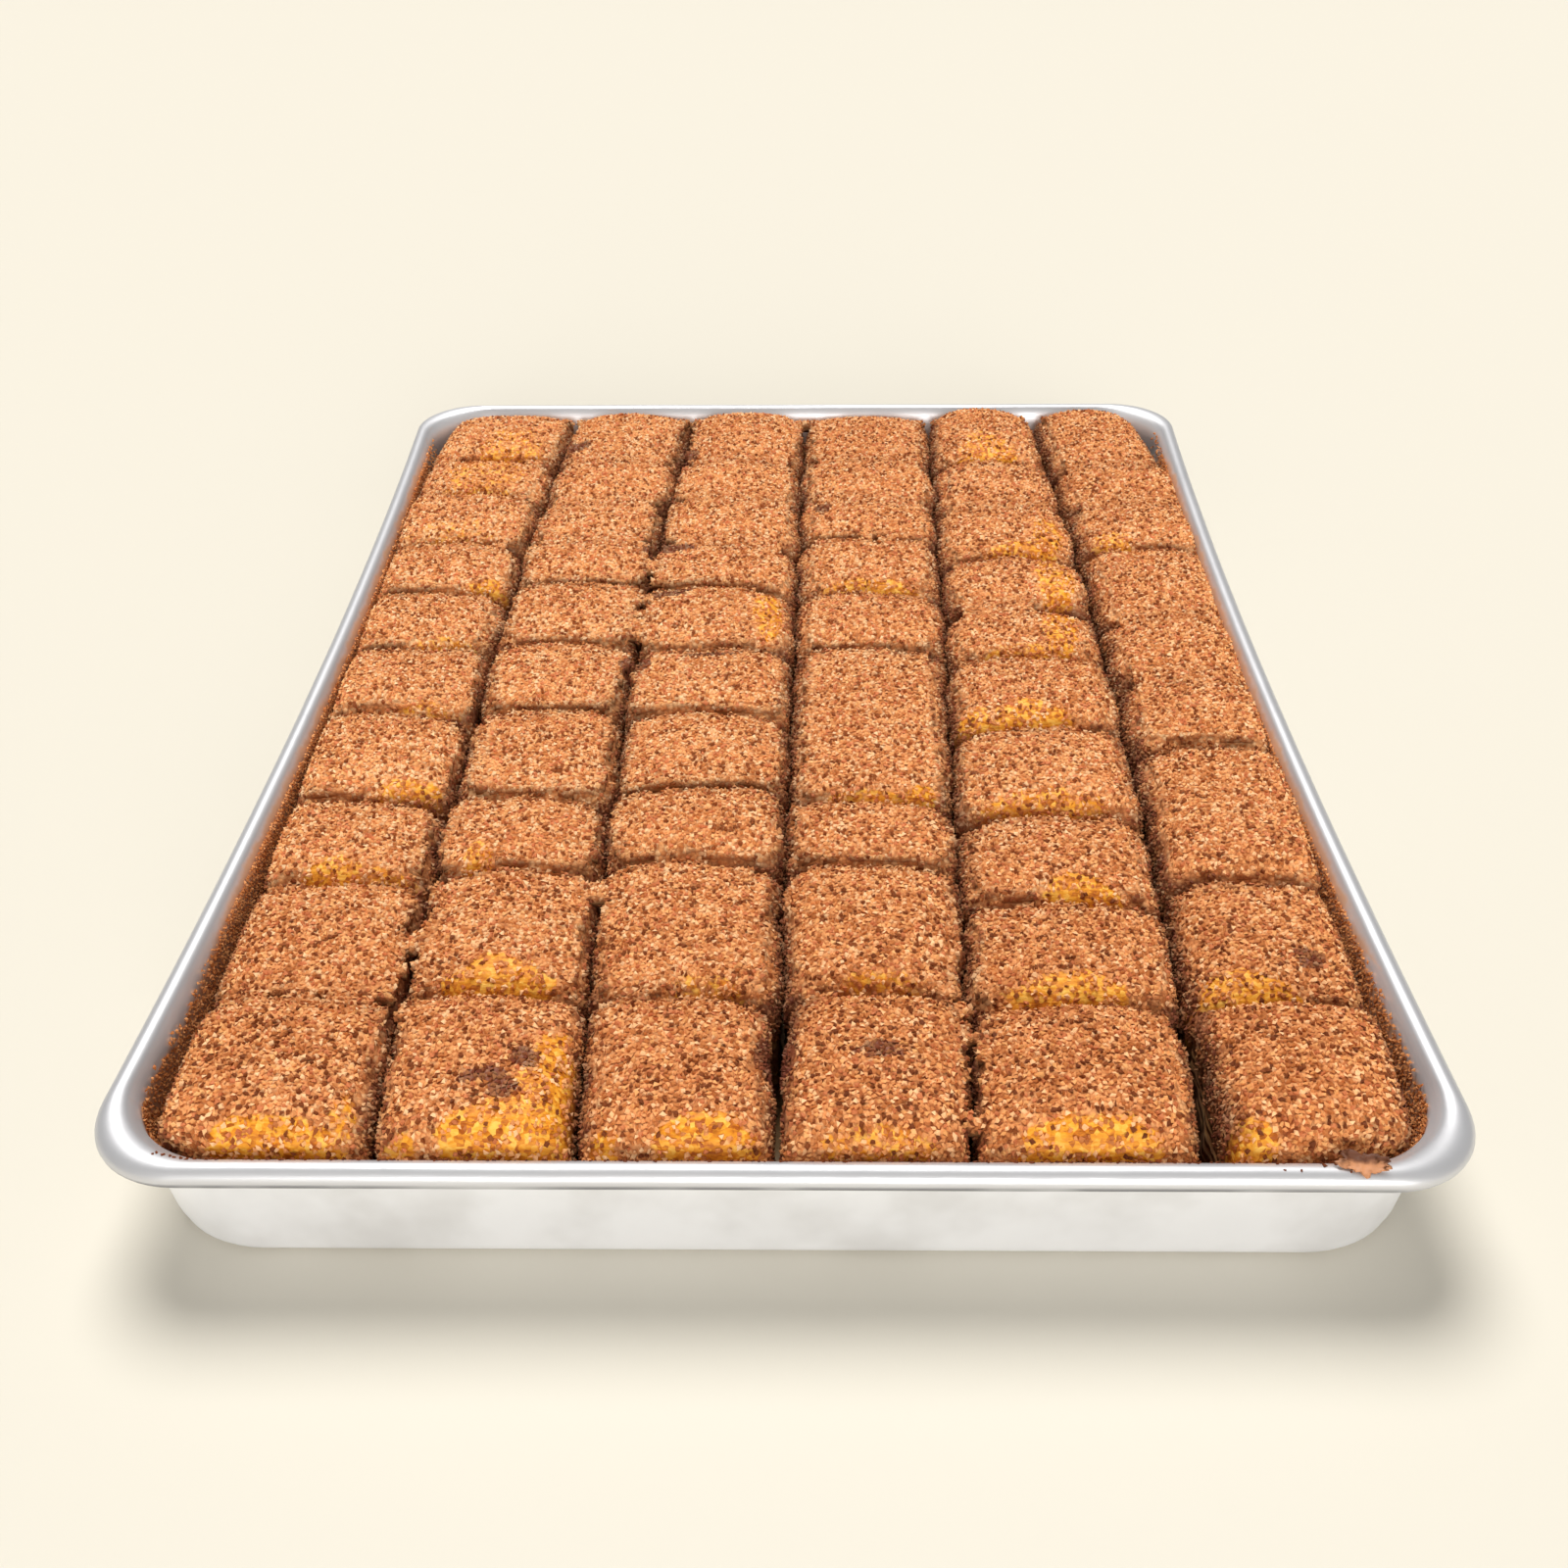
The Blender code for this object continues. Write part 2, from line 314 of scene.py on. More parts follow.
# %% [markdown]
# ## The topping and the pastry, as a finish
# The real topping is milk chocolate ground to grains of about a millimetre, laid so thick that it
# hides the pastry, except on some shoulders, where soaked golden pastry shows. An image could carry
# that, but cells of noise do it at any distance: each Voronoi cell is one grain with a tone of its
# own, and painted shade darkens the gaps between the cells. Values painted on the mesh say where the
# topping lies (`cover`) and where it has rubbed off (`bare`). Another darkens the topping where it
# soaked through and also paints shade over holes where cuts meet, and `deep` paints shade low in the
# cuts and down the sides.

# %% Colours of the food
GRAIN_SIZE = 1.35 * MM
CHOCOLATE_STOPS = (
    (0.0, (0.32, 0.075, 0.016)),
    (0.16, (0.55, 0.180, 0.050)),
    (0.45, (0.78, 0.310, 0.105)),
    (0.75, (0.90, 0.410, 0.155)),
    (1.0, (1.00, 0.600, 0.290)),
)
PASTRY_STOPS = (
    (0.0, (0.40, 0.090, 0.004)),
    (0.3, (0.72, 0.235, 0.012)),
    (0.6, (0.88, 0.360, 0.022)),
    (1.0, (1.00, 0.560, 0.095)),
)
LAYER_STOPS = (
    (0.0, (0.30, 0.110, 0.022)),
    (0.5, (0.60, 0.320, 0.100)),
    (1.0, (0.78, 0.520, 0.240)),
)
# Dark for topping soaked with syrup, and painted shade over holes where cuts meet.
WET_AND_HOLE_SHADE_COLOUR = (0.15, 0.028, 0.014)
# Painted shade in the gaps between grains of topping.
GRAIN_GAP_SHADE = (0.22, 0.055, 0.016)
# Painted shade low in the cuts and down the sides, standing also for the darker soaked pastry there.
CUT_SHADE_COLOUR = (0.16, 0.044, 0.022)
LAYER_HEIGHT = 1.5 * MM
TOPPING_GLOSS = 0.25
WET_AND_HOLE_SHADE_SPECK_SIZE = 2.2 * MM
LIGHTER_ACROSS = (-150 * MM, 130 * MM)
LIGHTER_ALONG = (-215 * MM, -30 * MM)


def bump(board, height, distance, strength):
    return board.node("ShaderNodeBump", {}, {"Height": height, "Distance": distance, "Strength": strength})


def painted(board, name):
    """A value that was painted on the mesh, read in a material."""
    return board.node("ShaderNodeAttribute", {"attribute_name": name}, {}, "Fac")


def ramp(board, share, stops):
    return board.node("ShaderNodeValToRGB", {"stops": stops}, {"Fac": share})


def far_share(board, place):
    """About 0 at the near right and 1 past the middle, where the topping is lighter."""
    apart = board.split(place)
    left = 1 - board.rise(apart["X"], *LIGHTER_ACROSS)
    return board.rise(apart["Y"], *LIGHTER_ALONG) * 0.8 + left * 0.45 - 0.10


def wet_and_hole_shade_share(board, place):
    """Soaked dark topping and painted shade over holes, in specks that thin out towards a patch's edge."""
    specks = board.noise(place, WET_AND_HOLE_SHADE_SPECK_SIZE, 2) - 0.5
    return board.rise(painted(board, "wet") + specks * 1.7, 0.48, 0.78)


print("grains of", GRAIN_SIZE / MM, "mm")

# %% The finish of a piece of baklava
TONE_SIZE = 16 * MM
STREAK_SIZE = 1.0 * MM
STREAK_SQUEEZE = (0.35, 1.0, 1.0)
LAYER_WAVE = 4
LAYER_WAVE_SIZE = 10 * MM
LAYER_STREAK_SIZE = 2 * MM
RAGGED_EDGE_SIZE = 2.0 * MM
TOPPING_RELIEF = 0.5 * MM


def topped_pastry():
    material, board, shader = new_material("chocolate_topped_pastry")
    place = board.place()
    across = board.vector("MULTIPLY", place, STREAK_SQUEEZE)
    grains = board.node("ShaderNodeTexVoronoi", {}, {"Vector": place, "Scale": 1 / GRAIN_SIZE})
    shades = board.split(grains["Color"])
    tones = board.noise(place, TONE_SIZE, 2)
    lighter = far_share(board, place) * 0.3
    chocolate = ramp(board, shades["X"] * 0.8 + tones * 0.5 + lighter - 0.2, CHOCOLATE_STOPS)
    # Painted shade: each grain cell darkens towards its edges, in the gaps between grains.
    edges = board.rise(grains["Distance"], 0.35, 0.75)
    chocolate = board.mix(edges * 0.45, chocolate, GRAIN_GAP_SHADE)

    streaks = board.noise(across, STREAK_SIZE, 2)
    pastry = ramp(board, streaks * 1.3 + shades["Y"] * 0.9 - 0.62, PASTRY_STOPS)

    height = board.split(place)["Z"] + board.noise(place, LAYER_WAVE_SIZE, 2) * LAYER_WAVE * MM
    leaf = calculate("PINGPONG", height / LAYER_HEIGHT, 1.0)
    leaves = ramp(board, leaf * 0.7 + board.noise(across, LAYER_STREAK_SIZE, 2) * 0.3, LAYER_STOPS)

    ragged = board.noise(place, RAGGED_EDGE_SIZE, 3) - 0.5
    bare = board.rise(painted(board, "bare") + ragged * 1.3, 0.22, 0.66)
    covered = board.rise(painted(board, "cover") + ragged * 0.6, 0.35, 0.60)
    # Darker where soaked, and painted shade over holes where cuts meet.
    wet = wet_and_hole_shade_share(board, place)
    colour = board.mix(bare, chocolate, pastry)
    colour = board.mix(covered, leaves, colour)
    # Painted shade low in the cuts and down the sides.
    colour = board.mix(painted(board, "deep") * 0.8, colour, CUT_SHADE_COLOUR)

    grain_height = (1 - grains["Distance"]) * (1 - bare * 0.8) * covered
    relief = grain_height + streaks * bare + leaf * (1 - covered)
    plug_all(shader, {
        "Base Color": board.mix(wet * 0.75, colour, WET_AND_HOLE_SHADE_COLOUR),
        "Roughness": 0.80 - bare * 0.28 - wet * 0.30,
        "Specular IOR Level": TOPPING_GLOSS,
        "Normal": bump(board, relief, TOPPING_RELIEF, 0.75),
    })
    return material


pastry_finish = topped_pastry()
print("finish:", pastry_finish.name)

# %% [markdown]
# ## Small trees that shape and paint
# Geometry Nodes do the work that repeats. Each tree has named inputs for its sizes, and a modifier
# sets them by the socket's identifier. When a tree has run, its result becomes a plain mesh, so the
# finished piece carries no modifier.

# %% Helpers for Geometry Nodes
def geometry_board(name, inputs):
    """A new tree with a Geometry input and the named inputs (label, socket kind, value)."""
    tree = bpy.data.node_groups.new(name, "GeometryNodeTree")
    tree.interface.new_socket(name="Geometry", in_out="INPUT", socket_type="NodeSocketGeometry")
    for label, kind, value in inputs:
        socket = tree.interface.new_socket(name=label, in_out="INPUT", socket_type="NodeSocket" + kind)
        if value is not None:
            socket.default_value = value
    tree.interface.new_socket(name="Geometry", in_out="OUTPUT", socket_type="NodeSocketGeometry")
    board = Board(tree)
    board.given = board.node("NodeGroupInput")
    return board


def finish_tree(board, geometry, material):
    real = board.node("GeometryNodeRealizeInstances", {}, {"Geometry": geometry})
    dressed = board.node("GeometryNodeSetMaterial", {}, {"Geometry": real, "Material": material})
    way_out = board.node("NodeGroupOutput")
    plug(way_out.inputs[0], dressed)


def run_tree(piece, board, values):
    """Adds a tree to a piece as a modifier, with its named inputs set."""
    modifier = piece.modifiers.new(board.tree.name, "NODES")
    modifier.node_group = board.tree
    for item in board.tree.interface.items_tree:
        if item.in_out == "INPUT" and item.name in values:
            modifier[item.identifier] = values[item.name]


def keep_results(pieces):
    """Makes what the modifiers of each piece built into its plain mesh."""
    depsgraph = bpy.context.evaluated_depsgraph_get()
    grown = [piece.evaluated_get(depsgraph) for piece in pieces]
    built = [bpy.data.meshes.new_from_object(piece, depsgraph=depsgraph) for piece in grown]
    for piece, mesh in zip(pieces, built):
        piece.modifiers.clear()
        piece.data = mesh
        mesh.name = piece.name


def moved(board, geometry, offset):
    return board.node("GeometryNodeSetPosition", {}, {"Geometry": geometry, "Offset": offset})


def paint(board, geometry, name, value, domain="POINT"):
    settings = {"data_type": "FLOAT", "domain": domain}
    inputs = {"Geometry": geometry, "Name": name, "Value": value}
    return board.node("GeometryNodeStoreNamedAttribute", settings, inputs)


def painted_value(board, name):
    """A value that was painted on the mesh, read in Geometry Nodes."""
    return board.node("GeometryNodeInputNamedAttribute", {"data_type": "FLOAT"}, {"Name": name}, "Attribute")


print("tree helpers are ready")

# %% [markdown]
# ## Where the pastry shows
# On the real tray the topping slid off some of the shoulders that face the near end, in rounded
# patches with a straight lower edge along the cut. Each patch is read off the photograph: which
# piece it is on, from where to where across the tray, how far up from the near cut its middle lies
# and how far it reaches, all in millimetres, and how bare it is. The dark patches can cross a cut,
# so each is read as a box in the tray: x from and to, y from and to. Some are topping that syrup
# soaked dark, and some paint shade over holes where cuts meet. A small tree paints one patch, and a
# piece gets it once for each of its patches.

# %% Bare and wet patches
BARE_PATCHES = (
    ("c1_r01", -137, -99, 0, 7, 0.8),
    ("c1_r01", -106, -99, 7, 9, 0.5),
    ("c2_r01", -82, -50, 0, 12, 0.9),
    ("c2_r01", -66, -46, 0, 38, 0.85),
    ("c2_r01", -94, -84, 0, 5, 0.6),
    ("c3_r01", -31, -3, 0, 9, 1.0),
    ("c3_r01", -46, -37, 0, 7, 0.7),
    ("c4_r01", 5, 40, 0, 5, 0.5),
    ("c5_r01", 52, 92, 0, 9, 0.8),
    ("c6_r01", 99, 116, 0, 9, 0.9),
    ("c2_r02", -92, -56, 0, 15, 0.95),
    ("c3_r02", -32, -8, 0, 9, 0.5),
    ("c4_r02", 10, 40, 0, 8, 0.5),
    ("c5_r02", 54, 92, 0, 13, 0.95),
    ("c6_r02", 101, 134, 0, 13, 0.9),
    ("c1_r03", -138, -118, 0, 12, 0.9),
    ("c1_r03", -122, -102, 0, 8, 0.6),
    ("c2_r03", -93, -83, 0, 14, 0.65),
    ("c5_r03", 69, 95, 0, 11, 1.0),
    ("c1_r04", -126, -101, 0, 10, 0.65),
    ("c4_r04", 34, 47, 0, 9, 0.8),
    ("c4_r04", 4, 46, 0, 6, 0.6),
    ("c5_r04", 54, 98, 0, 10, 0.55),
    ("c5_r05", 52, 66, 0, 12, 0.85),
    ("c5_r05", 64, 92, 0, 14, 0.95),
    ("c1_r06", -134, -104, 0, 8, 0.5),
    ("c5_r06", 60, 95, 0, 10, 0.55),
    ("c5_r06", 86, 101, 22, 26, 0.75),
    ("c5_r07", 88, 103, 16, 26, 0.8),
    ("c4_r06", 4, 50, 0, 10, 0.95),
    ("c5_r08", 70, 104, 0, 12, 0.9),
    ("c5_r08", 90, 104, 16, 16, 0.7),
    ("c6_r07", 112, 129, 0, 13, 0.85),
    ("c5_r10", 66, 94, 4, 24, 0.75),
    ("c1_r10", -134, -103, 6, 26, 0.6),
    ("c1_r09", -146, -104, 18, 24, 0.55),
    ("c3_r06", -14, -2, 24, 22, 0.75),
    ("c1_r05", -130, -104, 0, 8, 0.5),
    ("c1_r07", -120, -101, 0, 10, 0.75),
    ("c1_r08", -150, -112, 4, 12, 0.4),
)
# Dark patches as x from and to, y from and to, and strength: some soaked topping, some painted shade over
# holes where cuts meet.
WET_AND_HOLE_SHADE_PATCHES = (
    (-78, -65, -205, -199, 1.1),
    (-67, -57, -200, -191, 1.1),
    (-71, -62, -209, -202, 1.0),
    (14, 34, -197, -189, 0.8),
    (-7, 5, -198, -180, 1.0),
    (-59, -33, 81, 88, 1.7),
    (-51, -34, 43, 52, 1.6),
    (-58, -46, -5, 5, 1.7),
    (-38, -14, 1, 6, 1.1),
    (-97, -85, 175, 186, 1.4),
    (-48, -38, 168, 180, 1.0),
    (8, 16, 112, 122, 1.2),
    (132, 142, -160, -150, 0.9),
)
EDGE_WARP = 1.0
EDGE_WARP_SIZE = 5 * MM
print("bare patches:", len(BARE_PATCHES), "wet patches:", len(WET_AND_HOLE_SHADE_PATCHES))

# %% The tree that paints a patch
def patch_board():
    """Paints one rounded patch: full in its middle, gone past its reach, with a ragged edge."""
    inputs = (
        ("Mark", "String", "bare"),
        ("Middle X", "Float", 0.0),
        ("Middle Y", "Float", 0.0),
        ("Half Width", "Float", 10 * MM),
        ("Reach", "Float", 8 * MM),
        ("Strength", "Float", 1.0),
        ("Finish", "Material", None),
    )
    board = geometry_board("paint_patch", inputs)
    given = board.given
    place = board.node("GeometryNodeInputPosition")
    apart = board.split(place)
    warp = (board.noise(place, EDGE_WARP_SIZE, 2) - 0.5) * EDGE_WARP
    aside = (apart["X"] - given["Middle X"]) / given["Half Width"]
    along = (apart["Y"] - given["Middle Y"]) / given["Reach"]
    dome = 1 - aside * aside - along * along + warp
    patch = board.rise(dome, 0.0, 0.5) * given["Strength"]
    after = calculate("MAXIMUM", painted_value(board, given["Mark"]), patch)
    finish_tree(board, paint(board, given["Geometry"], given["Mark"], after), given["Finish"])
    return board


def paint_patch(piece, mark, x_from, x_to, middle_y, reach, strength):
    """Adds one patch to a piece. Its places and sizes are in millimetres."""
    run_tree(piece, patch_tree, {
        "Mark": mark,
        "Middle X": (x_from + x_to) / 2 * MM,
        "Middle Y": middle_y * MM,
        "Half Width": (x_to - x_from) / 2 * MM,
        "Reach": reach * MM,
        "Strength": strength,
        "Finish": pastry_finish,
    })


def paint_bare(piece, node):
    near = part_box(node)[0].y / MM
    for name, x_from, x_to, up, reach, strength in BARE_PATCHES:
        if node.endswith(name):
            paint_patch(piece, "bare", x_from, x_to, near + up, reach, strength)


def paint_wet_and_hole_shade(piece, low, high):
    """Paints the dark patches that reach into the box from low to high: soaked topping, and painted shade
    over holes.
    """
    for x_from, x_to, y_from, y_to, strength in WET_AND_HOLE_SHADE_PATCHES:
        across = low.x < x_to * MM and high.x > x_from * MM
        if across and low.y < y_to * MM and high.y > y_from * MM:
            paint_patch(piece, "wet", x_from, x_to, (y_from + y_to) / 2, (y_to - y_from) / 2, strength)


patch_tree = patch_board()
print("tree ready:", patch_tree.tree.name)

# %% [markdown]
# ## Pillows of baklava
# A real piece is dozens of thin leaves, soaked, swollen and cut with a knife: a soft pillow with
# ragged sides. Sculpting each by hand would be slow. Here the plain piece is smoothed, given an
# even fine mesh, painted with its patches, and then pressed in by noise: little heaps on top where
# the topping lies, thin leaves down the sides. A slow sideways warp, the same for all the pieces,
# makes the straight cuts wander and tear together, so that neighbours still fit. It fades out near
# the tray's walls, so a piece stays in the space that its plain node holds.

# %% The warp that all the pieces share
WARP_SIZE = 15 * MM
WARP_REACH = 2.6 * MM
TEAR_SIZE = 5 * MM
TEAR_REACH = 1.0 * MM
WARP_ENDS_X = 143 * MM
WARP_ENDS_Y = 212 * MM
WARP_FADE = 22 * MM


def sway(board, place, size, reach):
    """A shift of up to reach each way, in waves about as long as size."""
    wave = board.vector("SUBTRACT", board.noise(place, size)["Color"], (0.5, 0.5, 0.5))
    return board.vector("SCALE", wave, 2 * reach)


def inside(board, distance, end):
    """1 about the tray's middle and 0 past end, to both sides."""
    return 1 - board.rise(distance * distance, (end - WARP_FADE) ** 2, end ** 2)


def shared_warp(board, place):
    """How far the whole food is shifted sideways at a place. It depends on the place alone."""
    level = board.vector("MULTIPLY", place, (1, 1, 0.5))
    slow = sway(board, level, WARP_SIZE, WARP_REACH)
    fast = sway(board, level, TEAR_SIZE, TEAR_REACH)
    both = board.vector("MULTIPLY", board.vector("ADD", slow, fast), (1, 1, 0))
    apart = board.split(place)
    share = inside(board, apart["X"], WARP_ENDS_X) * inside(board, apart["Y"], WARP_ENDS_Y)
    return board.vector("SCALE", both, share)


print("cuts wander by up to", WARP_REACH / MM, "mm and tear by", TEAR_REACH / MM, "mm")

# %% The tree that dresses a pillow
FINE_MESH = 1.25 * MM
SMALL_HEAP_SIZE = 3.2 * MM
LARGE_HEAP_SIZE = 9 * MM
HEAP_DEPTH = 0.75 * MM
LEAF_DEPTH = 0.55 * MM
LEAF_PITCH = 1.9 * MM
LEAF_WAVE = 5
LEAF_WAVE_SIZE = 10 * MM
COVER_FULL = 16 * MM
COVER_GONE = 24 * MM
SPILL = 10
SPILL_SIZE = 8 * MM
# Painted shade: how far below the crown it starts and is full, where it ends at the near end, and its
# patches.
CUT_SHADE_FROM = 5.5 * MM
CUT_SHADE_FULL = 9.5 * MM
CUT_SHADE_NEAR_END = -219 * MM
CUT_SHADE_FADE = 6 * MM
CUT_SHADE_PATCH_SIZE = 7 * MM
SWELL = 0.25 * MM


def dress_board():
    inputs = (
        ("Crown Height", "Float", 45 * MM),
        ("Heap Depth", "Float", HEAP_DEPTH),
        ("Leaf Depth", "Float", LEAF_DEPTH),
        ("Swell", "Float", SWELL),
        ("Finish", "Material", None),
    )
    board = geometry_board("dress_pillow", inputs)
    given = board.given
    place = board.node("GeometryNodeInputPosition")
    outwards = board.node("GeometryNodeInputNormal")
    apart = board.split(place)
    spill = (board.noise(place, SPILL_SIZE, 2) - 0.5) * SPILL * MM
    below = given["Crown Height"] - apart["Z"]
    cover = 1 - board.rise(below + spill, COVER_FULL, COVER_GONE)
    past_end = board.rise(apart["Y"], CUT_SHADE_NEAR_END, CUT_SHADE_NEAR_END + CUT_SHADE_FADE)
    uneven = board.rise(board.noise(place, CUT_SHADE_PATCH_SIZE, 2), 0.35, 0.6)
    # Painted shade low in the cuts and down the sides; none on the near end's front faces.
    deep = board.rise(below + spill * 0.2, CUT_SHADE_FROM, CUT_SHADE_FULL) * past_end * (0.55 + uneven * 0.45)

    heaps = board.noise(place, SMALL_HEAP_SIZE, 2) * 0.6 + board.noise(place, LARGE_HEAP_SIZE, 2) * 0.9
    heap_press = heaps * given["Heap Depth"] * (1 - painted_value(board, "bare") * 0.4)
    height = apart["Z"] + board.noise(place, LEAF_WAVE_SIZE, 2) * LEAF_WAVE * MM
    leaf_press = calculate("PINGPONG", height / LEAF_PITCH, 1.0) * given["Leaf Depth"]
    press = heap_press * cover * (1 - deep) + leaf_press * (1 - cover) - given["Swell"] * deep
    offset = board.vector("ADD", board.vector("SCALE", outwards, 0 - press), shared_warp(board, place))
    covered = paint(board, moved(board, given["Geometry"], offset), "cover", cover)
    shaded = paint(board, covered, "deep", deep)
    smooth = board.node("GeometryNodeSetShadeSmooth", {}, {"Geometry": shaded})
    finish_tree(board, smooth, given["Finish"])
    return board


dress_tree = dress_board()
print("fine mesh of", FINE_MESH / MM, "mm")

# %% Dress every piece
ROUNDING_LEVELS = 2
MERGE_WITHIN = 0.002 * MM
FLAT_WITHIN = math.radians(50)
TALL_EDGE = 15 * MM
SIDE_CUTS = 9


def merged_copy(node):
    """A copy of a plain node's mesh, merged and joined to quads, with its tall sides cut into rows.

    Without the rows, rounding would pull the shoulders down towards the middle of the tall sides.
    """
    builder = bmesh.new()
    builder.from_mesh(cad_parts[node].data)
    bmesh.ops.remove_doubles(builder, verts=builder.verts, dist=MERGE_WITHIN)
    bmesh.ops.join_triangles(
        builder,
        faces=builder.faces,
        angle_face_threshold=FLAT_WITHIN,
        angle_shape_threshold=math.pi,
    )
    tall = [edge for edge in builder.edges if abs(edge.verts[0].co.z - edge.verts[1].co.z) > TALL_EDGE]
    bmesh.ops.subdivide_edges(builder, edges=tall, cuts=SIDE_CUTS, use_grid_fill=True)
    return make_mesh(node + "_dressed", builder)


def plan_pillow(node):
    piece = add_object(node.replace("baklava", "pillow"), merged_copy(node))
    rounding = piece.modifiers.new("rounding", "SUBSURF")
    rounding.levels = ROUNDING_LEVELS
    rounding.render_levels = ROUNDING_LEVELS
    even = piece.modifiers.new("even_mesh", "REMESH")
    even.mode = "VOXEL"
    even.voxel_size = FINE_MESH
    low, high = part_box(node)
    paint_bare(piece, node)
    paint_wet_and_hole_shade(piece, low, high)
    run_tree(piece, dress_tree, {"Crown Height": high.z, "Finish": pastry_finish})
    return piece


pillows = [plan_pillow(node) for node in pillow_nodes]
keep_results(pillows)
for pillow, node in zip(pillows, pillow_nodes):
    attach(pillow, "root")
    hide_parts(node)
print("pillow faces:", sum(len(pillow.data.polygons) for pillow in pillows))

# %% [markdown]
# ## Topping in the cuts
# Ground topping falls into the cuts of the real tray. Most lengthwise cuts stay open as dark, ragged
# creases, while many of the far cross cuts are filled almost flush. A strip could follow each cut,
# but one rug is simpler, and the pillows themselves can say where it goes. Their highest points on a
# grid make a height map. A closing of that map (each cell's highest neighbour, then the lowest of
# those) bridges every cut. The rug lies on that bridge, except where the dip under it is so deep
# that the cut should show there as open.

# %% Map the tops of the pillows
MAP_CELL = 1.5 * MM
MAP_HALF_WIDTH = 171 * MM
MAP_HALF_LENGTH = 237 * MM
BRIDGE_CELLS = 6
FOOD_FOOT = 20 * MM
OUTSIDE = 1.0


def point_values(mesh, name, width):
    """One painted value, or the place, of every point of a mesh: zeros where it has no such value."""
    values = np.zeros(len(mesh.vertices) * width)
    if name in mesh.attributes:
        mesh.attributes[name].data.foreach_get("vector" if width == 3 else "value", values)
    return values.reshape(-1, width)


def map_cells(places):
    """The column and row of the map under each place."""
    return np.rint((places[:, :2] + (MAP_HALF_WIDTH, MAP_HALF_LENGTH)) / MAP_CELL).astype(int).T


def map_tops(pieces):
    """The highest point of the pieces in every cell of the map, and how bare the pastry is there."""
    shape = (round(2 * MAP_HALF_WIDTH / MAP_CELL) + 1, round(2 * MAP_HALF_LENGTH / MAP_CELL) + 1)
    tops = np.zeros(shape)
    bareness = np.zeros(shape)
    for piece in pieces:
        places = point_values(piece.data, "position", 3)
        columns, rows = map_cells(places)
        np.maximum.at(tops, (columns, rows), places[:, 2])
        np.maximum.at(bareness, (columns, rows), point_values(piece.data, "bare", 1)[:, 0])
    return tops, bareness


def neighbour(grid, pick):
    """Each cell's highest or lowest neighbour, as pick says."""
    for axis in (0, 1):
        grid = pick.reduce([np.roll(grid, step, axis) for step in range(-BRIDGE_CELLS, BRIDGE_CELLS + 1)])
    return grid


def bridge_over(tops):
    highest = neighbour(tops, np.maximum)
    bridge = neighbour(np.where(highest > FOOD_FOOT, highest, OUTSIDE), np.minimum)
    for axis in (0, 1, 0, 1):
        bridge = (np.roll(bridge, 1, axis) + bridge + np.roll(bridge, -1, axis)) / 3
    return bridge


tops, bareness = map_tops(pillows)
bridge = bridge_over(tops)
print("map of", tops.shape, "cells, highest point", round(tops.max() / MM, 1), "mm")

# %% Which cuts stay open
# Each lengthwise cut, as x at its near end, middle and far end, and how far it stays open to each
# side at even steps along it. Then the same for the cross cuts of each column. All are millimetres.
FOOD_NEAR = -220.9
FOOD_FAR = 217
LENGTHWISE_CUTS = (
    ((-96, -102, -96), (2.6, 0.3, 0.5, 1.0, 0.5, 2.0, 0.8, 1.4, 1.8, 0.3)),
    ((-48, -53, -44), (1.8, 1.6, 0.3, 0.9, 0.8, 0.3, 0.4, 0.6, 1.2, 0.3)),
    ((-1, 1, 5), (0.5, 2.6, 0.5, 1.2, 1.2, 2.2, 2.4, 2.2, 1.2, 0.2)),
    ((45, 53, 59), (0.3, 0.4, 1.2, 1.2, 2.0, 2.6, 1.8, 2.2, 2.2, 1.0)),
    ((100, 108, 104), (4.0, 3.0, 2.4, 2.2, 2.2, 2.8, 2.6, 2.6, 2.0, 1.2)),
)
CROSSWISE_OPEN = (
    (0.3, 1.5, 1.2, 1.3, 0.5, 1.0, 0.4, 0.0, 0.0),
    (0.4, 1.2, 1.2, 1.0, 1.2, 0.6, 0.2, 0.0, 0.0),
    (0.5, 1.2, 0.6, 1.3, 1.4, 0.8, 0.2, 0.0, 0.0),
    (0.4, 1.1, 1.3, 1.2, 1.2, 0.4, 0.0, 0.0),
    (0.8, 1.1, 1.1, 1.4, 1.1, 0.0, 0.8, 0.2, 0.0),
    (0.8, 1.3, 2.0, 0.0, 0.0, 1.2, 0.0, 0.0),
)
CUT_REACH = 6
RUG_REACH = 10
SHOULDER_WIDTH = 9
SHOULDER_DROP = 7.5
RAGGED_SIZE = 6
RAGGED_LEAST = 0.3
RAGGED_MORE = 1.4
CLOSED_BELOW = 0.35


def noise_map(xs, ys, size):
    """Slow noise from 0 to 1 in every cell."""
    pairs = zip(xs.ravel(), ys.ravel())
    values = [0.5 + 0.5 * noise.noise(Vector((x, y, SEED)) / size) for x, y in pairs]
    return np.array(values).reshape(xs.shape)


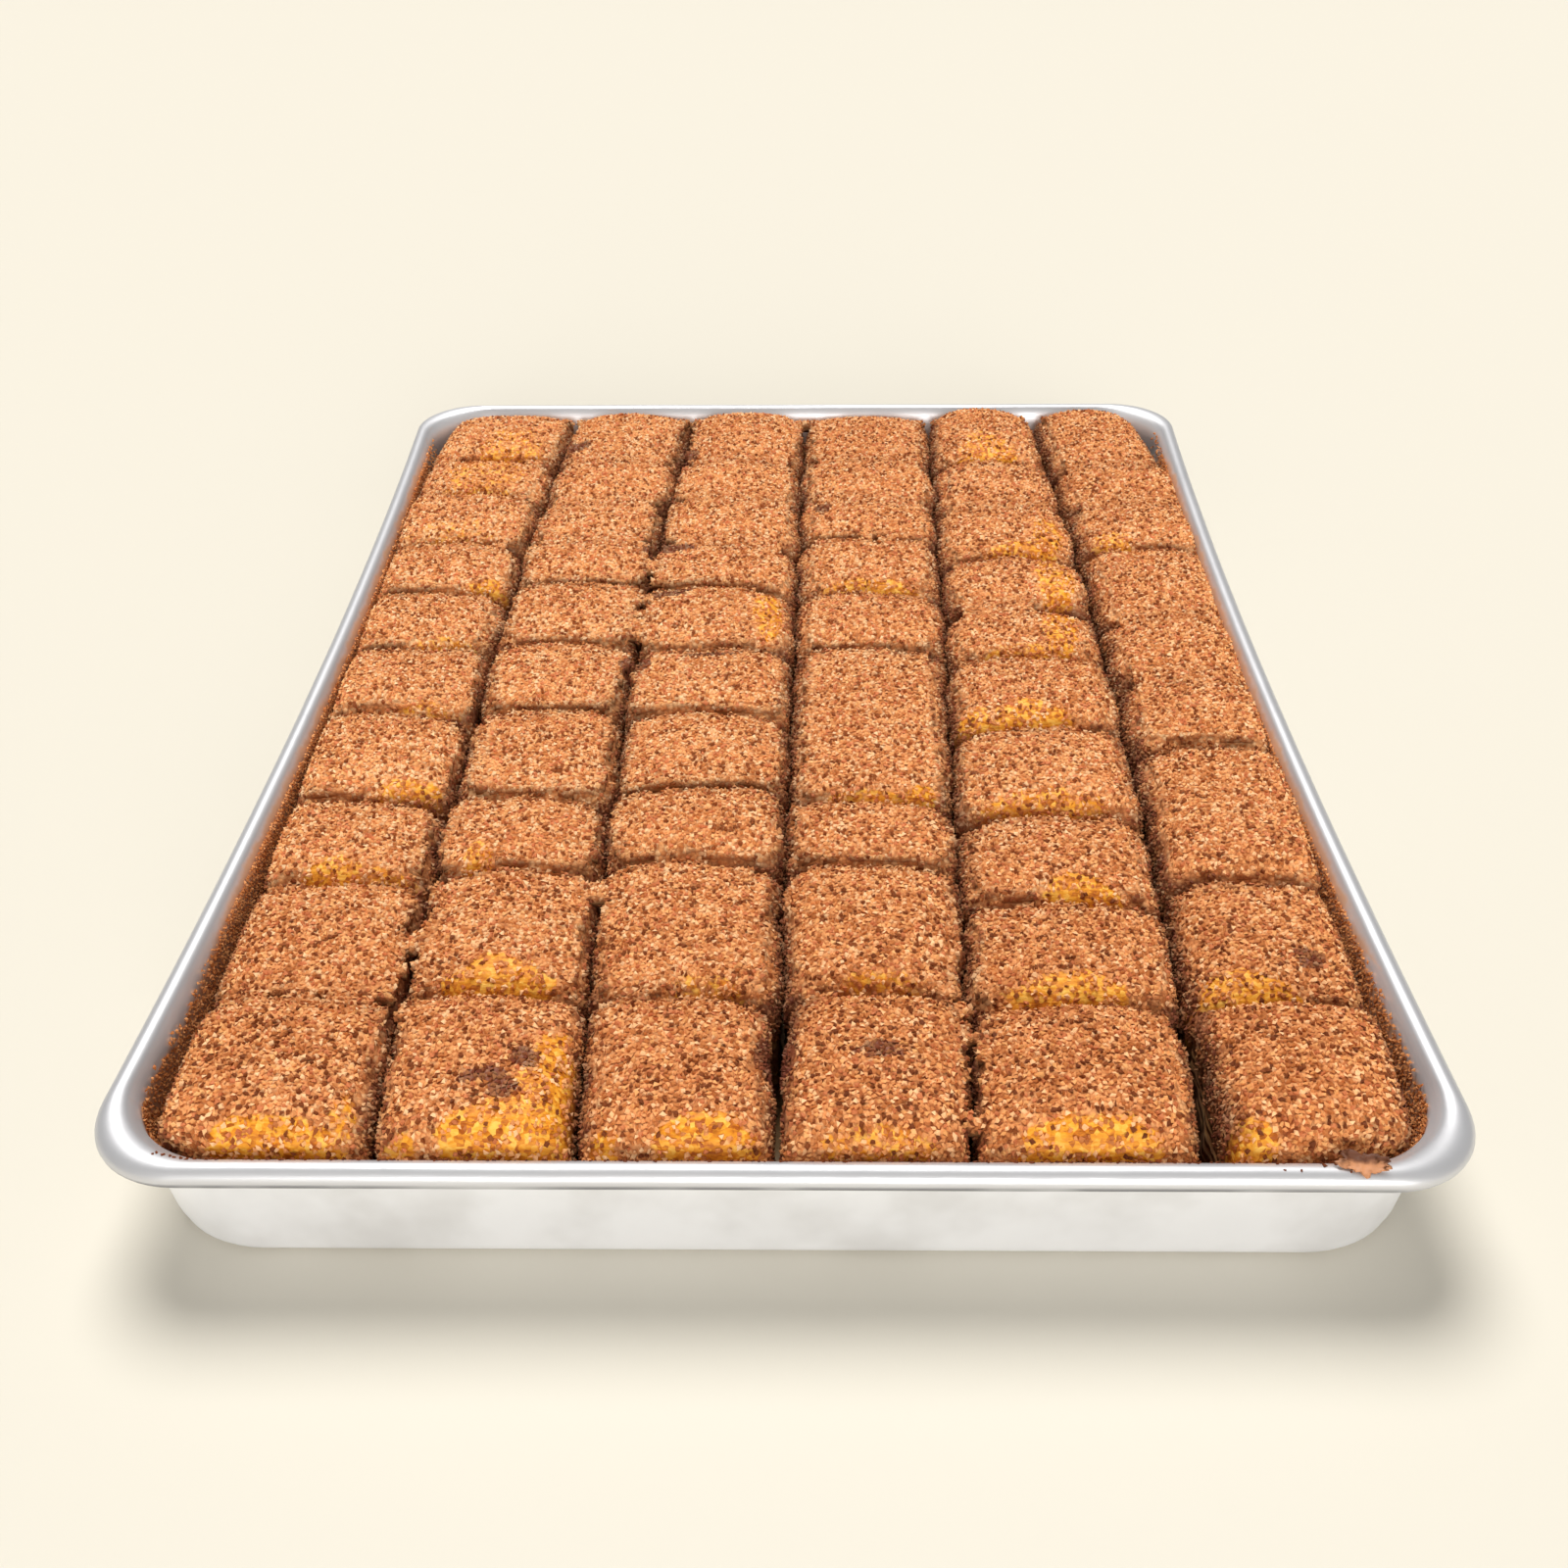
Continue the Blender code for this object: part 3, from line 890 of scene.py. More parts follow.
def open_maps(xs, ys):
    """How far the nearest cut stays open, and whether a cell is near any cut. In millimetres."""
    opening = np.zeros(xs.shape)
    beside = np.zeros(xs.shape, dtype=bool)
    share = (ys - FOOD_NEAR) / (FOOD_FAR - FOOD_NEAR)
    for (near, middle, far), widths in LENGTHWISE_CUTS:
        line = near * (1 - share) * (1 - 2 * share) + 4 * middle * share * (1 - share)
        apart = np.abs(xs - line - far * share * (2 * share - 1))
        width = np.interp(share, np.linspace(0, 1, len(widths)), widths)
        opening = np.maximum(opening, np.where(apart < CUT_REACH, width, 0))
        beside |= apart < RUG_REACH
    for column, widths in enumerate(CROSSWISE_OPEN, 1):
        for row, width in enumerate(widths, 2):
            low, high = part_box(f"baklava_c{column}_r{row:02d}")
            within = (xs > low.x / MM) & (xs < high.x / MM)
            apart = np.abs(ys - low.y / MM)
            opening = np.maximum(opening, np.where(within & (apart < CUT_REACH), width, 0))
            beside |= within & (apart < RUG_REACH)
    return opening, beside


def deepest_dip(opening, ragged):
    """How deep a dip the rug still bridges: a shoulder's depth where the cut should start to show."""
    width = opening * (RAGGED_LEAST + RAGGED_MORE * ragged)
    away = np.clip(1 - width / SHOULDER_WIDTH, 0, 1)
    dip = SHOULDER_DROP * (1 - np.sqrt(1 - away * away)) * MM
    return np.where(width < CLOSED_BELOW, OUTSIDE, dip)


columns, rows = np.indices(tops.shape)
xs = columns * MAP_CELL / MM - MAP_HALF_WIDTH / MM
ys = rows * MAP_CELL / MM - MAP_HALF_LENGTH / MM
opening, beside = open_maps(xs, ys)
deepest = deepest_dip(opening, noise_map(xs, ys, RAGGED_SIZE))
print("cells near a cut:", int(beside.sum()))

# %% Lay the rug of topping
RUG_SINK_NEAR = 1.5
RUG_SINK_FAR = 0.5
RUG_SINK_CHANGE = (-215, -25)
RUG_HEAPS = 1.0
RUG_HEAP_SIZE = 11
RUG_NEAR_EDGE = (-212, -220)
RUG_NEAR_FALL = 7
RUG_FAR_EDGE = (213, 219)
RUG_FAR_FALL = 1.75
RUG_SHALLOW = 0.45 * MM
RUG_THICKNESS = 4.0 * MM
# Painted shade on the rug's top: the least, and how much more near an open cut.
RUG_SHADE_LEAST = 0.05
RUG_SHADE_MORE = 0.55
BARE_LIMIT = 0.12
FOOD_MARGIN = 12
FAR_MARGIN = 2


def along_tray(low, high):
    """0 in the cells before low, 1 in those past high, and straight between. In millimetres."""
    return np.clip((ys - low) / (high - low), 0, 1)


def rug_heights():
    """The rug's height in every cell. It sinks a little under the bridge, more so at the near end."""
    sink = RUG_SINK_NEAR + (RUG_SINK_FAR - RUG_SINK_NEAR) * along_tray(*RUG_SINK_CHANGE)
    sink += RUG_HEAPS * noise_map(xs, ys, RUG_HEAP_SIZE)
    sink += RUG_NEAR_FALL * along_tray(*RUG_NEAR_EDGE) + RUG_FAR_FALL * along_tray(*RUG_FAR_EDGE)
    return bridge - sink * MM


def rug_cells(heights):
    """Where the rug lies: in a dip near a cut that isn't to stay open, and never over bare pastry."""
    dip = bridge - tops
    kept = beside & (dip > RUG_SHALLOW) & (dip < deepest) & (bareness < BARE_LIMIT)
    inner = (np.abs(xs) < MAP_HALF_WIDTH / MM - 2 * FOOD_MARGIN) & (ys > FOOD_NEAR + FOOD_MARGIN)
    inner &= ys < FOOD_FAR - FAR_MARGIN
    return kept & (heights > tops - RUG_SHALLOW) & (inner | (tops > FOOD_FOOT))


def lay_rug(heights, kept):
    """A slab of topping over the kept cells. Painted shade darkens its top where it nears a slot, and its
    underside.

    It is closed by hand, because extruding it gives its side faces another order on each run, and the
    grains would then fall elsewhere.
    """
    builder = bmesh.new()
    cover = builder.verts.layers.float.new("cover")
    deep = builder.verts.layers.float.new("deep")
    closeness = np.clip((bridge - tops) / deepest, 0, 1)
    grid = {}
    for i, j in zip(*np.nonzero(kept)):
        vertex = builder.verts.new((xs[i, j] * MM, ys[i, j] * MM, heights[i, j]))
        vertex[cover] = 1.0
        # Painted shade, darker where the rug nears an open cut.
        vertex[deep] = RUG_SHADE_LEAST + RUG_SHADE_MORE * closeness[i, j] ** 3
        grid[i, j] = vertex
    for i, j in grid:
        corners = ((i, j), (i + 1, j), (i + 1, j + 1), (i, j + 1))
        if all(corner in grid for corner in corners):
            builder.faces.new([grid[corner] for corner in corners])
    loose = [vertex for vertex in builder.verts if not vertex.link_faces]
    bmesh.ops.delete(builder, geom=loose, context="VERTS")
    border = [edge.verts[:] for edge in builder.edges if edge.is_boundary]
    top = builder.faces[:]
    below = {}
    for vertex in builder.verts[:]:
        low = builder.verts.new(vertex.co)
        low.co.z -= RUG_THICKNESS
        low[cover] = 0.0
        # Painted shade under the rug.
        low[deep] = 1.0
        below[vertex] = low
    for face in top:
        builder.faces.new([below[vertex] for vertex in reversed(face.verts)])
    for first, second in border:
        builder.faces.new((first, second, below[second], below[first]))
    bmesh.ops.recalc_face_normals(builder, faces=builder.faces)
    mesh = make_mesh("topping_in_cuts", builder, pastry_finish)
    mesh.shade_smooth()
    return add_object("topping_in_cuts", mesh)


def mark_buried(piece, heights, kept):
    """Paints the points of a pillow that lie under the rug, so that no grains are strewn there."""
    places = point_values(piece.data, "position", 3)
    columns, rows = map_cells(places)
    buried = kept[columns, rows] & (places[:, 2] < heights[columns, rows] - RUG_SHALLOW)
    piece.data.attributes.new("buried", "FLOAT", "POINT").data.foreach_set("value", buried.astype(float))


rug_top = rug_heights()
rug_kept = rug_cells(rug_top)
rug = lay_rug(rug_top, rug_kept)
# The rug gets the dark patches too: soaked topping, and painted shade over holes.
paint_wet_and_hole_shade(rug, cad_low, cad_high)
keep_results([rug])
for pillow in pillows:
    mark_buried(pillow, rug_top, rug_kept)
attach(rug, "root")
print("rug faces:", len(rug.data.polygons))

# %% [markdown]
# ## Loose grains of chocolate
# A painted topping looks flat from close by, so real grains lie on it. One tree strews points over
# all the pillows, keeps them a grain apart, leaves the bare patches nearly free, and sets a rough
# chip of chocolate on each point. The same points are shared out between six shades, one piece
# each, because ground chocolate holds milk powder, cocoa and darker shavings. A chip is a knocked
# pyramid of only six triangles, because there are over a hundred thousand of them.

# %% The tree that strews grains
GRAIN_SPACING = 1.04 * MM
GRAIN_SIZE_LOOSE = 1.12 * MM
GRAIN_DENSITY = 3.0e6
GRAIN_LIFT = 0.12 * MM
GRAIN_TILT = 0.6
GRAIN_SMALL = Vector((0.75, 0.65, 0.45))
GRAIN_LARGE = Vector((1.45, 1.20, 0.95))
CHIP = {"Vertices": 4, "Radius Top": 0.0, "Radius Bottom": 0.7, "Depth": 1.0}
CHIP_FACES = 5
CHIP_ROUGHNESS = 0.20
BARE_THINS = 0.58


def random_share(board, seed):
    return board.node("FunctionNodeRandomValue", {"data_type": "FLOAT"}, {"Seed": seed}, 1)


def random_vector(board, low, high, seed):
    inputs = {0: low, 1: high, "Seed": seed}
    return board.node("FunctionNodeRandomValue", {"data_type": "FLOAT_VECTOR"}, inputs)


def grain_board():
    inputs = (
        ("Spacing", "Float", GRAIN_SPACING),
        ("Grain Size", "Float", GRAIN_SIZE_LOOSE),
        ("From Share", "Float", 0.0),
        ("To Share", "Float", 1.0),
        ("Seed", "Int", SEED),
        ("Finish", "Material", None),
    )
    board = geometry_board("strew_grains", inputs)
    given = board.given
    uncovered = painted_value(board, "cover") * (1 - painted_value(board, "bare") * BARE_THINS)
    points = board.node(
        "GeometryNodeDistributePointsOnFaces",
        {"distribute_method": "POISSON"},
        {
            "Mesh": given["Geometry"],
            "Distance Min": given["Spacing"],
            "Density Max": GRAIN_DENSITY,
            "Density Factor": uncovered * (1 - painted_value(board, "buried")),
            "Seed": given["Seed"],
        },
    )
    share = random_share(board, 1)
    above = calculate("GREATER_THAN", share, given["From Share"])
    lean = random_vector(board, (-GRAIN_TILT, -GRAIN_TILT, 0), (GRAIN_TILT, GRAIN_TILT, 2 * math.pi), 2)
    lean = board.node("FunctionNodeEulerToRotation", {}, {"Euler": lean})
    turn_inputs = {"Rotation": points["Rotation"], "Rotate By": lean}
    size = random_vector(board, GRAIN_SMALL, GRAIN_LARGE, 3)
    strewn = board.node(
        "GeometryNodeInstanceOnPoints",
        {},
        {
            "Points": moved(board, points, board.vector("SCALE", points["Normal"], GRAIN_LIFT)),
            "Selection": above * calculate("LESS_THAN", share, given["To Share"]),
            "Instance": board.node("GeometryNodeMeshCone", {}, CHIP),
            "Rotation": board.node("FunctionNodeRotateRotation", {"rotation_space": "LOCAL"}, turn_inputs),
            "Scale": board.vector("SCALE", size, given["Grain Size"]),
        },
    )
    toned = paint(board, strewn, "tone", random_share(board, 4), "INSTANCE")
    real = board.node("GeometryNodeRealizeInstances", {}, {"Geometry": toned})
    knock = random_vector(board, (-CHIP_ROUGHNESS,) * 3, (CHIP_ROUGHNESS,) * 3, 5)
    rough = moved(board, real, board.vector("SCALE", knock, given["Grain Size"]))
    flat = board.node("GeometryNodeSetShadeSmooth", {}, {"Geometry": rough, "Shade Smooth": False})
    finish_tree(board, flat, given["Finish"])
    return board


grain_tree = grain_board()
print("grain spacing:", round(GRAIN_SPACING / MM, 2), "mm")

# %% Six shades of grain
GRAIN_KINDS = (
    ("tan", 0.00, 0.23, (0.72, 0.280, 0.090), (0.92, 0.430, 0.165)),
    ("golden", 0.23, 0.38, (0.80, 0.350, 0.110), (0.98, 0.520, 0.210)),
    ("brown", 0.38, 0.58, (0.44, 0.130, 0.030), (0.70, 0.260, 0.078)),
    ("russet", 0.58, 0.68, (0.50, 0.145, 0.045), (0.76, 0.255, 0.100)),
    ("pale", 0.68, 0.86, (0.96, 0.500, 0.215), (1.00, 0.660, 0.360)),
    ("dark", 0.86, 1.00, (0.15, 0.034, 0.007), (0.34, 0.088, 0.018)),
)
MOTTLE_SIZE = 0.7 * MM


def grain_finish(shade, darker, lighter):
    material, board, shader = new_material("chocolate_grain_" + shade)
    place = board.place()
    mottle = board.noise(place, MOTTLE_SIZE, 1)
    share = painted(board, "tone") * 0.6 + mottle * 0.4 + far_share(board, place) * 0.55 - 0.2
    colour = board.mix(share, darker, lighter)
    # Painted shade in the cuts, as on the pastry.
    colour = board.mix(painted(board, "deep") * 0.8, colour, CUT_SHADE_COLOUR)
    # Darker where soaked, and painted shade over holes, as on the pastry.
    plug_all(shader, {
        "Base Color": board.mix(wet_and_hole_shade_share(board, place) * 0.7, colour, WET_AND_HOLE_SHADE_COLOUR),
        "Roughness": 0.60 + mottle * 0.3,
        "Specular IOR Level": TOPPING_GLOSS,
    })
    return material


def joined_copy(name, pieces):
    """One mesh with the faces and the painted values of several pieces."""
    builder = bmesh.new()
    for piece in pieces:
        builder.from_mesh(piece.data)
    return make_mesh(name, builder)


def strew(prefix, ground, spacing, size, kinds):
    """Strews grains over a ground: one piece for each shade, from one share of the points to another."""
    pieces = [add_object(prefix + shade, ground) for shade, _, _ in kinds]
    for piece, (shade, first, last) in zip(pieces, kinds):
        run_tree(piece, grain_tree, {
            "Spacing": spacing,
            "Grain Size": size,
            "From Share": first,
            "To Share": last,
            "Finish": grain_finishes[shade],
        })
    keep_results(pieces)
    bpy.data.meshes.remove(ground)
    for piece in pieces:
        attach(piece, "root")
        print(piece.name, "has", len(piece.data.polygons) // CHIP_FACES, "grains")


grain_finishes = {kind[0]: grain_finish(kind[0], kind[3], kind[4]) for kind in GRAIN_KINDS}
shades = [kind[:3] for kind in GRAIN_KINDS]
strew("ground_", joined_copy("all_food", pillows + [rug]), GRAIN_SPACING, GRAIN_SIZE_LOOSE, shades)

# %% [markdown]
# ## The baking tray
# The real tray is pressed from one aluminium sheet, its rim rolled round a wire. The plain tray has
# few faces, so its corners show flats. Here the same profile is swept round the same bowed outline
# with finer steps, and thin sheet is never quite true: slow noise pushes its walls in and dips its
# rim by fractions of a millimetre.

# %% The tray's outline
TRAY_WIDTH = 330 * MM
TRAY_LENGTH = 457 * MM
TRAY_HEIGHT = 38 * MM
SHEET = 1.0 * MM
RIM_WIDTH = 6.4 * MM
RIM_THICKNESS = 6.6 * MM
WALL_TOP = 30.5 * MM
BASE_INSET = 9.2 * MM
RIM_CORNER = 24 * MM
CORNER_SPREAD = 0.4
BOTTOM_BEND = 3.5 * MM
SIDE_BOW = 6 * MM
CORNER_STEPS = 14
SIDE_STEPS = 30
END_STEPS = 20


def tray_ring(inset, z):
    """The tray's rounded outline at a height, as far inside the rim's outer edge as inset says."""
    half_width = TRAY_WIDTH / 2 - inset
    half_length = TRAY_LENGTH / 2 - inset
    radius = RIM_CORNER + CORNER_SPREAD * inset
    straight_x = half_width - radius
    straight_y = half_length - radius
    points = []
    for quarter, (side_x, side_y) in enumerate(((1, 1), (-1, 1), (-1, -1), (1, -1))):
        for step in range(CORNER_STEPS + 1):
            turn = math.radians(90) * (quarter + step / CORNER_STEPS)
            x = side_x * straight_x + radius * math.cos(turn)
            points.append((x, side_y * straight_y + radius * math.sin(turn)))
        if side_x == side_y:
            steps = [1 - 2 * step / END_STEPS for step in range(1, END_STEPS)]
            points.extend((side_x * straight_x * share, side_y * half_length) for share in steps)
        else:
            steps = [1 - 2 * step / SIDE_STEPS for step in range(1, SIDE_STEPS)]
            points.extend((side_x * half_width, side_y * straight_y * share) for share in steps)
    bowed = [(x * (1 - SIDE_BOW * (1 - (2 * y / TRAY_LENGTH) ** 2) * 2 / TRAY_WIDTH), y) for x, y in points]
    return [Vector((x, y, z)) for x, y in bowed]


print("points round the outline:", len(tray_ring(0, 0)))

# %% The tray's profile
BEND_STEPS = 5
WALL_STEPS = 9
RIM_FIRST_TURN = -120
RIM_LAST_TURN = 135
RIM_STEPS = 17
CURL_TURN = -14
OUTER_WALL, RIM, INNER_WALL, CURL = range(4)


def wall_inset(z):
    return BASE_INSET + (RIM_WIDTH - BASE_INSET) * min(z / WALL_TOP, 1)


def bend(inset, first_z, radius, outwards):
    """A quarter round from the floor into the wall, or back."""
    shares = [step / BEND_STEPS for step in range(BEND_STEPS + 1)]
    turns = [math.radians(90) * (share if outwards else 1 - share) for share in shares]
    return [(inset + radius * (1 - math.sin(t)), first_z + radius * (1 - math.cos(t))) for t in turns]


def tray_profile():
    """(inset, z, side) round the sheet. A side is one of the four names above."""
    walls = [BOTTOM_BEND + (WALL_TOP - BOTTOM_BEND) * step / WALL_STEPS for step in range(1, WALL_STEPS)]
    outer = bend(wall_inset(0), 0, BOTTOM_BEND, True) + [(wall_inset(z), z) for z in walls]
    outer.append((RIM_WIDTH, WALL_TOP))
    turns = [
        math.radians(RIM_FIRST_TURN + (RIM_LAST_TURN - RIM_FIRST_TURN) * step / RIM_STEPS)
        for step in range(RIM_STEPS + 1)
    ]
    rim = [
        (RIM_WIDTH / 2 * (1 - math.cos(turn)), TRAY_HEIGHT - RIM_THICKNESS / 2 * (1 - math.sin(turn)))
        for turn in turns
    ]
    inner = [(RIM_WIDTH + SHEET / 2, TRAY_HEIGHT - RIM_THICKNESS / 2), (RIM_WIDTH + SHEET, WALL_TOP)]
    inner += [(wall_inset(z) + SHEET, z) for z in reversed(walls)]
    inner += bend(wall_inset(0) + SHEET, SHEET, BOTTOM_BEND - SHEET, False)
    curled = [CURL if turn < math.radians(CURL_TURN) else RIM for turn in turns]
    sides = [OUTER_WALL] * len(outer) + curled + [INNER_WALL] * len(inner)
    return [(inset, z, side) for (inset, z), side in zip(outer + rim + inner, sides)]


print("profile points:", len(tray_profile()))

# %% [markdown]
# The tray's finish is bare aluminium with a soft sheen and faint smudges. The rim is a little more
# metallic than the wall and is painted a darker grey, a painted reflection of the grey that its round
# top shows, and the crevice under it, where it curls in, carries a painted shadow. Inside, milk syrup
# has dried on the wall in a brown smear that ends in a wavy line, high up along the middle and lower
# at the near end, and in a few yellow stains on the rim at the far left. A picture could be wrapped
# round the tray, but values painted on its points follow the wall wherever it bends. A stain isn't
# metal, so one mask drives colour, metallic and roughness.

# %% The tray's finish
ALUMINIUM = (0.90, 0.91, 0.94)
SMUDGE = (0.73, 0.73, 0.74)
# Painted reflection: the darker grey of the rim.
RIM_REFLECTION_GREY = (0.54, 0.54, 0.56)
# Painted shadow in the crevice under the rim's curl.
CREVICE_SHADOW = (0.08, 0.08, 0.085)
SYRUP_STAIN = (0.66, 0.360, 0.180)
YELLOW_STAIN = (0.62, 0.400, 0.130)
RIM_STAINS = (
    (Vector((-148, 112, 34)) * MM, 8 * MM),
    (Vector((-148, 85, 34)) * MM, 7 * MM),
    (Vector((-150, 164, 34)) * MM, 6 * MM),
)
SMUDGE_SIZE = 28 * MM
SMEAR_SIZE = 8 * MM
SCRATCH_SIZE = 0.5 * MM
SCRATCH_SQUEEZE = (0.08, 0.08, 1.0)
# How large the breaks in the painted shadow under the curl are.
CREVICE_SHADOW_SIZE = 30 * MM
METAL_RELIEF = 0.05 * MM


def tray_finish():
    material, board, shader = new_material("pressed_aluminium")
    place = board.place()
    smudges = board.noise(place, SMUDGE_SIZE, 3)
    scratches = board.noise(board.vector("MULTIPLY", place, SCRATCH_SQUEEZE), SCRATCH_SIZE, 2)
    smears = board.noise(place, SMEAR_SIZE, 3)
    smear = board.rise(painted(board, "smeared") * 1.1 + smears - 0.5, 0.45, 0.95) * 0.85
    yellow = None
    for middle, reach in RIM_STAINS:
        near = 1 - board.rise(board.vector("DISTANCE", place, middle), reach * 0.3, reach)
        spot = board.rise(near + smears - 0.5, 0.35, 0.85) * 0.6
        yellow = spot if yellow is None else calculate("MAXIMUM", yellow, spot)
    rim = painted(board, "rim")
    # Painted shadow in the crevice under the rim's curl, broken up by noise.
    dark = painted(board, "curl") * board.rise(board.noise(place, CREVICE_SHADOW_SIZE, 2), 0.25, 0.55)
    metal = board.mix(board.rise(smudges, 0.35, 0.75), ALUMINIUM, SMUDGE)
    # Painted reflection: the rim is made a darker grey.
    metal = board.mix(rim * 0.75, metal, RIM_REFLECTION_GREY)
    stained = board.mix(yellow, board.mix(smear, metal, SYRUP_STAIN), YELLOW_STAIN)
    clean = (1 - smear) * (1 - yellow) * (1 - dark)
    plug_all(shader, {
        "Base Color": board.mix(dark * 0.8, stained, CREVICE_SHADOW),
        "Metallic": clean * (0.5 + rim * 0.1),
        "Roughness": 0.27 + smudges * 0.22 + scratches * 0.06,
        "Normal": bump(board, scratches + smudges * 2, METAL_RELIEF, 0.5),
    })
    return material


aluminium = tray_finish()
print("finish:", aluminium.name)

# %% What clings to the tray
CLING_NEAR = 32 * MM
CLING_MIDDLE = 38 * MM
CLING_RISE = (-180 * MM, -110 * MM)
CLING_WAVE = 4 * MM
CLING_WAVE_LENGTH = 9 * MM
CLING_FADE = 2 * MM
WIPED = (165 * MM, 205 * MM)
EDGE_SMEAR = 0.4
EDGE_FROM = RIM_WIDTH * 0.85


def ease(value, low, high):
    """0 below low, 1 above high, and straight between."""
    return max(0.0, min(1.0, (value - low) / (high - low)))


def clinging(place):
    """How thickly syrup and topping cling to the inside of the wall: up to a line, and not at the far end."""
    line = CLING_NEAR + (CLING_MIDDLE - CLING_NEAR) * ease(place.y, *CLING_RISE)
    line += CLING_WAVE * noise.noise(place / CLING_WAVE_LENGTH)
    return ease(line - place.z, -CLING_FADE, CLING_FADE) * (1 - ease(place.y, *WIPED))


def painted_marks(inset, place, side):
    """What a point of the tray carries: dried syrup inside and on the rim's inner edge, the rim's painted
    reflection, and the painted shadow under its curl.
    """
    on_inner_edge = EDGE_SMEAR if side == RIM and inset > EDGE_FROM else 0.0
    return {
        "smeared": clinging(place) if side == INNER_WALL else on_inner_edge,
        "rim": 1.0 if side in (RIM, CURL) else 0.0,
        # Where the painted shadow under the rim's curl goes.
        "curl": 1.0 if side == CURL else 0.0,
    }


print("syrup clings up to", CLING_MIDDLE / MM, "mm")

# %% Sweep the tray
RIM_DIP = 0.3 * MM
DENT_SIZE = 45 * MM
DENT_DEPTH = 0.35 * MM
SHARP_ANGLE = 50


def dented(point, side):
    """A point of the tray, pushed in or down a little, because thin sheet is never quite true."""
    depth = 0.5 + 0.5 * noise.noise(point / DENT_SIZE)
    if side in (RIM, CURL):
        return point - Vector((0, 0, RIM_DIP * depth))
    inwards = Vector((point.x, point.y, 0)).normalized()
    return point - inwards * DENT_DEPTH * depth * min(point.z / WALL_TOP, 1)


def join_rings(builder, rings, inwards=False):
    """Faces between each ring of points and the next, that look outwards or inwards."""
    for lower, upper in zip(rings, rings[1:]):
        for index in range(len(lower)):
            after = (index + 1) % len(lower)
            corners = [lower[index], lower[after], upper[after], upper[index]]
            if inwards:
                corners[1], corners[3] = corners[3], corners[1]
            builder.faces.new(corners)


def close_ends(builder, rings):
    """Closes a shape at its first and last ring, and turns all its faces outwards."""
    builder.faces.new(list(reversed(rings[0])))
    builder.faces.new(rings[-1])
    bmesh.ops.recalc_face_normals(builder, faces=builder.faces)


def make_tray():
    builder = bmesh.new()
    layers = {mark: builder.verts.layers.float.new(mark) for mark in ("smeared", "rim", "curl")}
    rings = []
    for inset, z, side in tray_profile():
        ring = [builder.verts.new(dented(point, side)) for point in tray_ring(inset, z)]
        for vertex in ring:
            for mark, value in painted_marks(inset, vertex.co, side).items():
                vertex[layers[mark]] = value
        rings.append(ring)
    join_rings(builder, rings)
    close_ends(builder, rings)
    tray = add_object("baking_tray", make_mesh("baking_tray", builder, aluminium))
    tray.data.shade_smooth()
    tray.data.set_sharp_from_angle(angle=math.radians(SHARP_ANGLE))
    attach(tray, "root")
    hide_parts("tray")
    return tray


tray = make_tray()
print("tray faces:", len(tray.data.polygons))

# %% [markdown]
# ## Milk syrup on the floor
# Cold baklava stands in the milk syrup that it has not yet drunk. A thin sheet of it lies on the
# tray's floor, so the cuts and the open corners show something wet and brown instead of bright
# metal. It is a closed sheet, a fraction of a millimetre thick, from the tray's own outline.

# %% Pour the syrup
SYRUP_LOW = 1.04 * MM
SYRUP_HIGH = 1.2 * MM
SYRUP_INSET = 1.7 * MM
SYRUP_COLOUR = (0.40, 0.200, 0.075)
MILK_COLOUR = (0.62, 0.400, 0.210)
SYRUP_CLOUD_SIZE = 14 * MM


def syrup_finish():
    material, board, shader = new_material("milk_syrup")
    clouds = board.noise(board.place(), SYRUP_CLOUD_SIZE, 3)
    colour = board.mix(clouds, SYRUP_COLOUR, MILK_COLOUR)
    plug_all(shader, {"Base Color": colour, "Roughness": 0.10 + clouds * 0.12})
    return material


def pour_syrup():
    builder = bmesh.new()
    inset = wall_inset(SYRUP_LOW) + SHEET + SYRUP_INSET
    rings = [[builder.verts.new(point) for point in tray_ring(inset, z)] for z in (SYRUP_LOW, SYRUP_HIGH)]
    join_rings(builder, rings)
    close_ends(builder, rings)
    syrup = add_object("milk_syrup", make_mesh("milk_syrup", builder, syrup_finish()))
    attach(syrup, "root")


pour_syrup()
print("syrup stands", round((SYRUP_HIGH - SHEET) / MM, 2), "mm deep")

# %% [markdown]
# ## Topping on the walls
# Ground topping sticks to the syrup on the walls. The tree that strews grains needs a ground with a
# painted cover, so a strip of wall lends it one: the same outline, just inside the metal.

# %% Strew the walls
STRIP_LOW = 8 * MM
STRIP_HIGH = 35 * MM
STRIP_STEPS = 9
WALL_SPACING = 0.9 * MM
WALL_GRAIN_SIZE = 0.85 * MM
WALL_GRAINS = (("tan", 0.0, 0.6), ("brown", 0.6, 1.0))


def wall_strip():
    """The inside of the tray's wall, painted with how thickly the topping clings to it."""
    builder = bmesh.new()
    cover = builder.verts.layers.float.new("cover")
    rings = []
    for step in range(STRIP_STEPS + 1):
        z = STRIP_LOW + (STRIP_HIGH - STRIP_LOW) * step / STRIP_STEPS
        ring = [builder.verts.new(dented(point, INNER_WALL)) for point in tray_ring(wall_inset(z) + SHEET, z)]
        for vertex in ring:
            vertex[cover] = clinging(vertex.co)
        rings.append(ring)
    join_rings(builder, rings, inwards=True)
    return make_mesh("wall_strip", builder)


strew("wall_", wall_strip(), WALL_SPACING, WALL_GRAIN_SIZE, WALL_GRAINS)

# %% [markdown]
# ## A fallen leaf and stray crumbs
# At the near right corner a leaf of browned pastry has curled over the rim. Crumbs lie along the
# rim's inner edge. Each crumb starts at a chance place in a zone and is set on the nearest point of
# the tray, so it touches the metal wherever the rim bends.

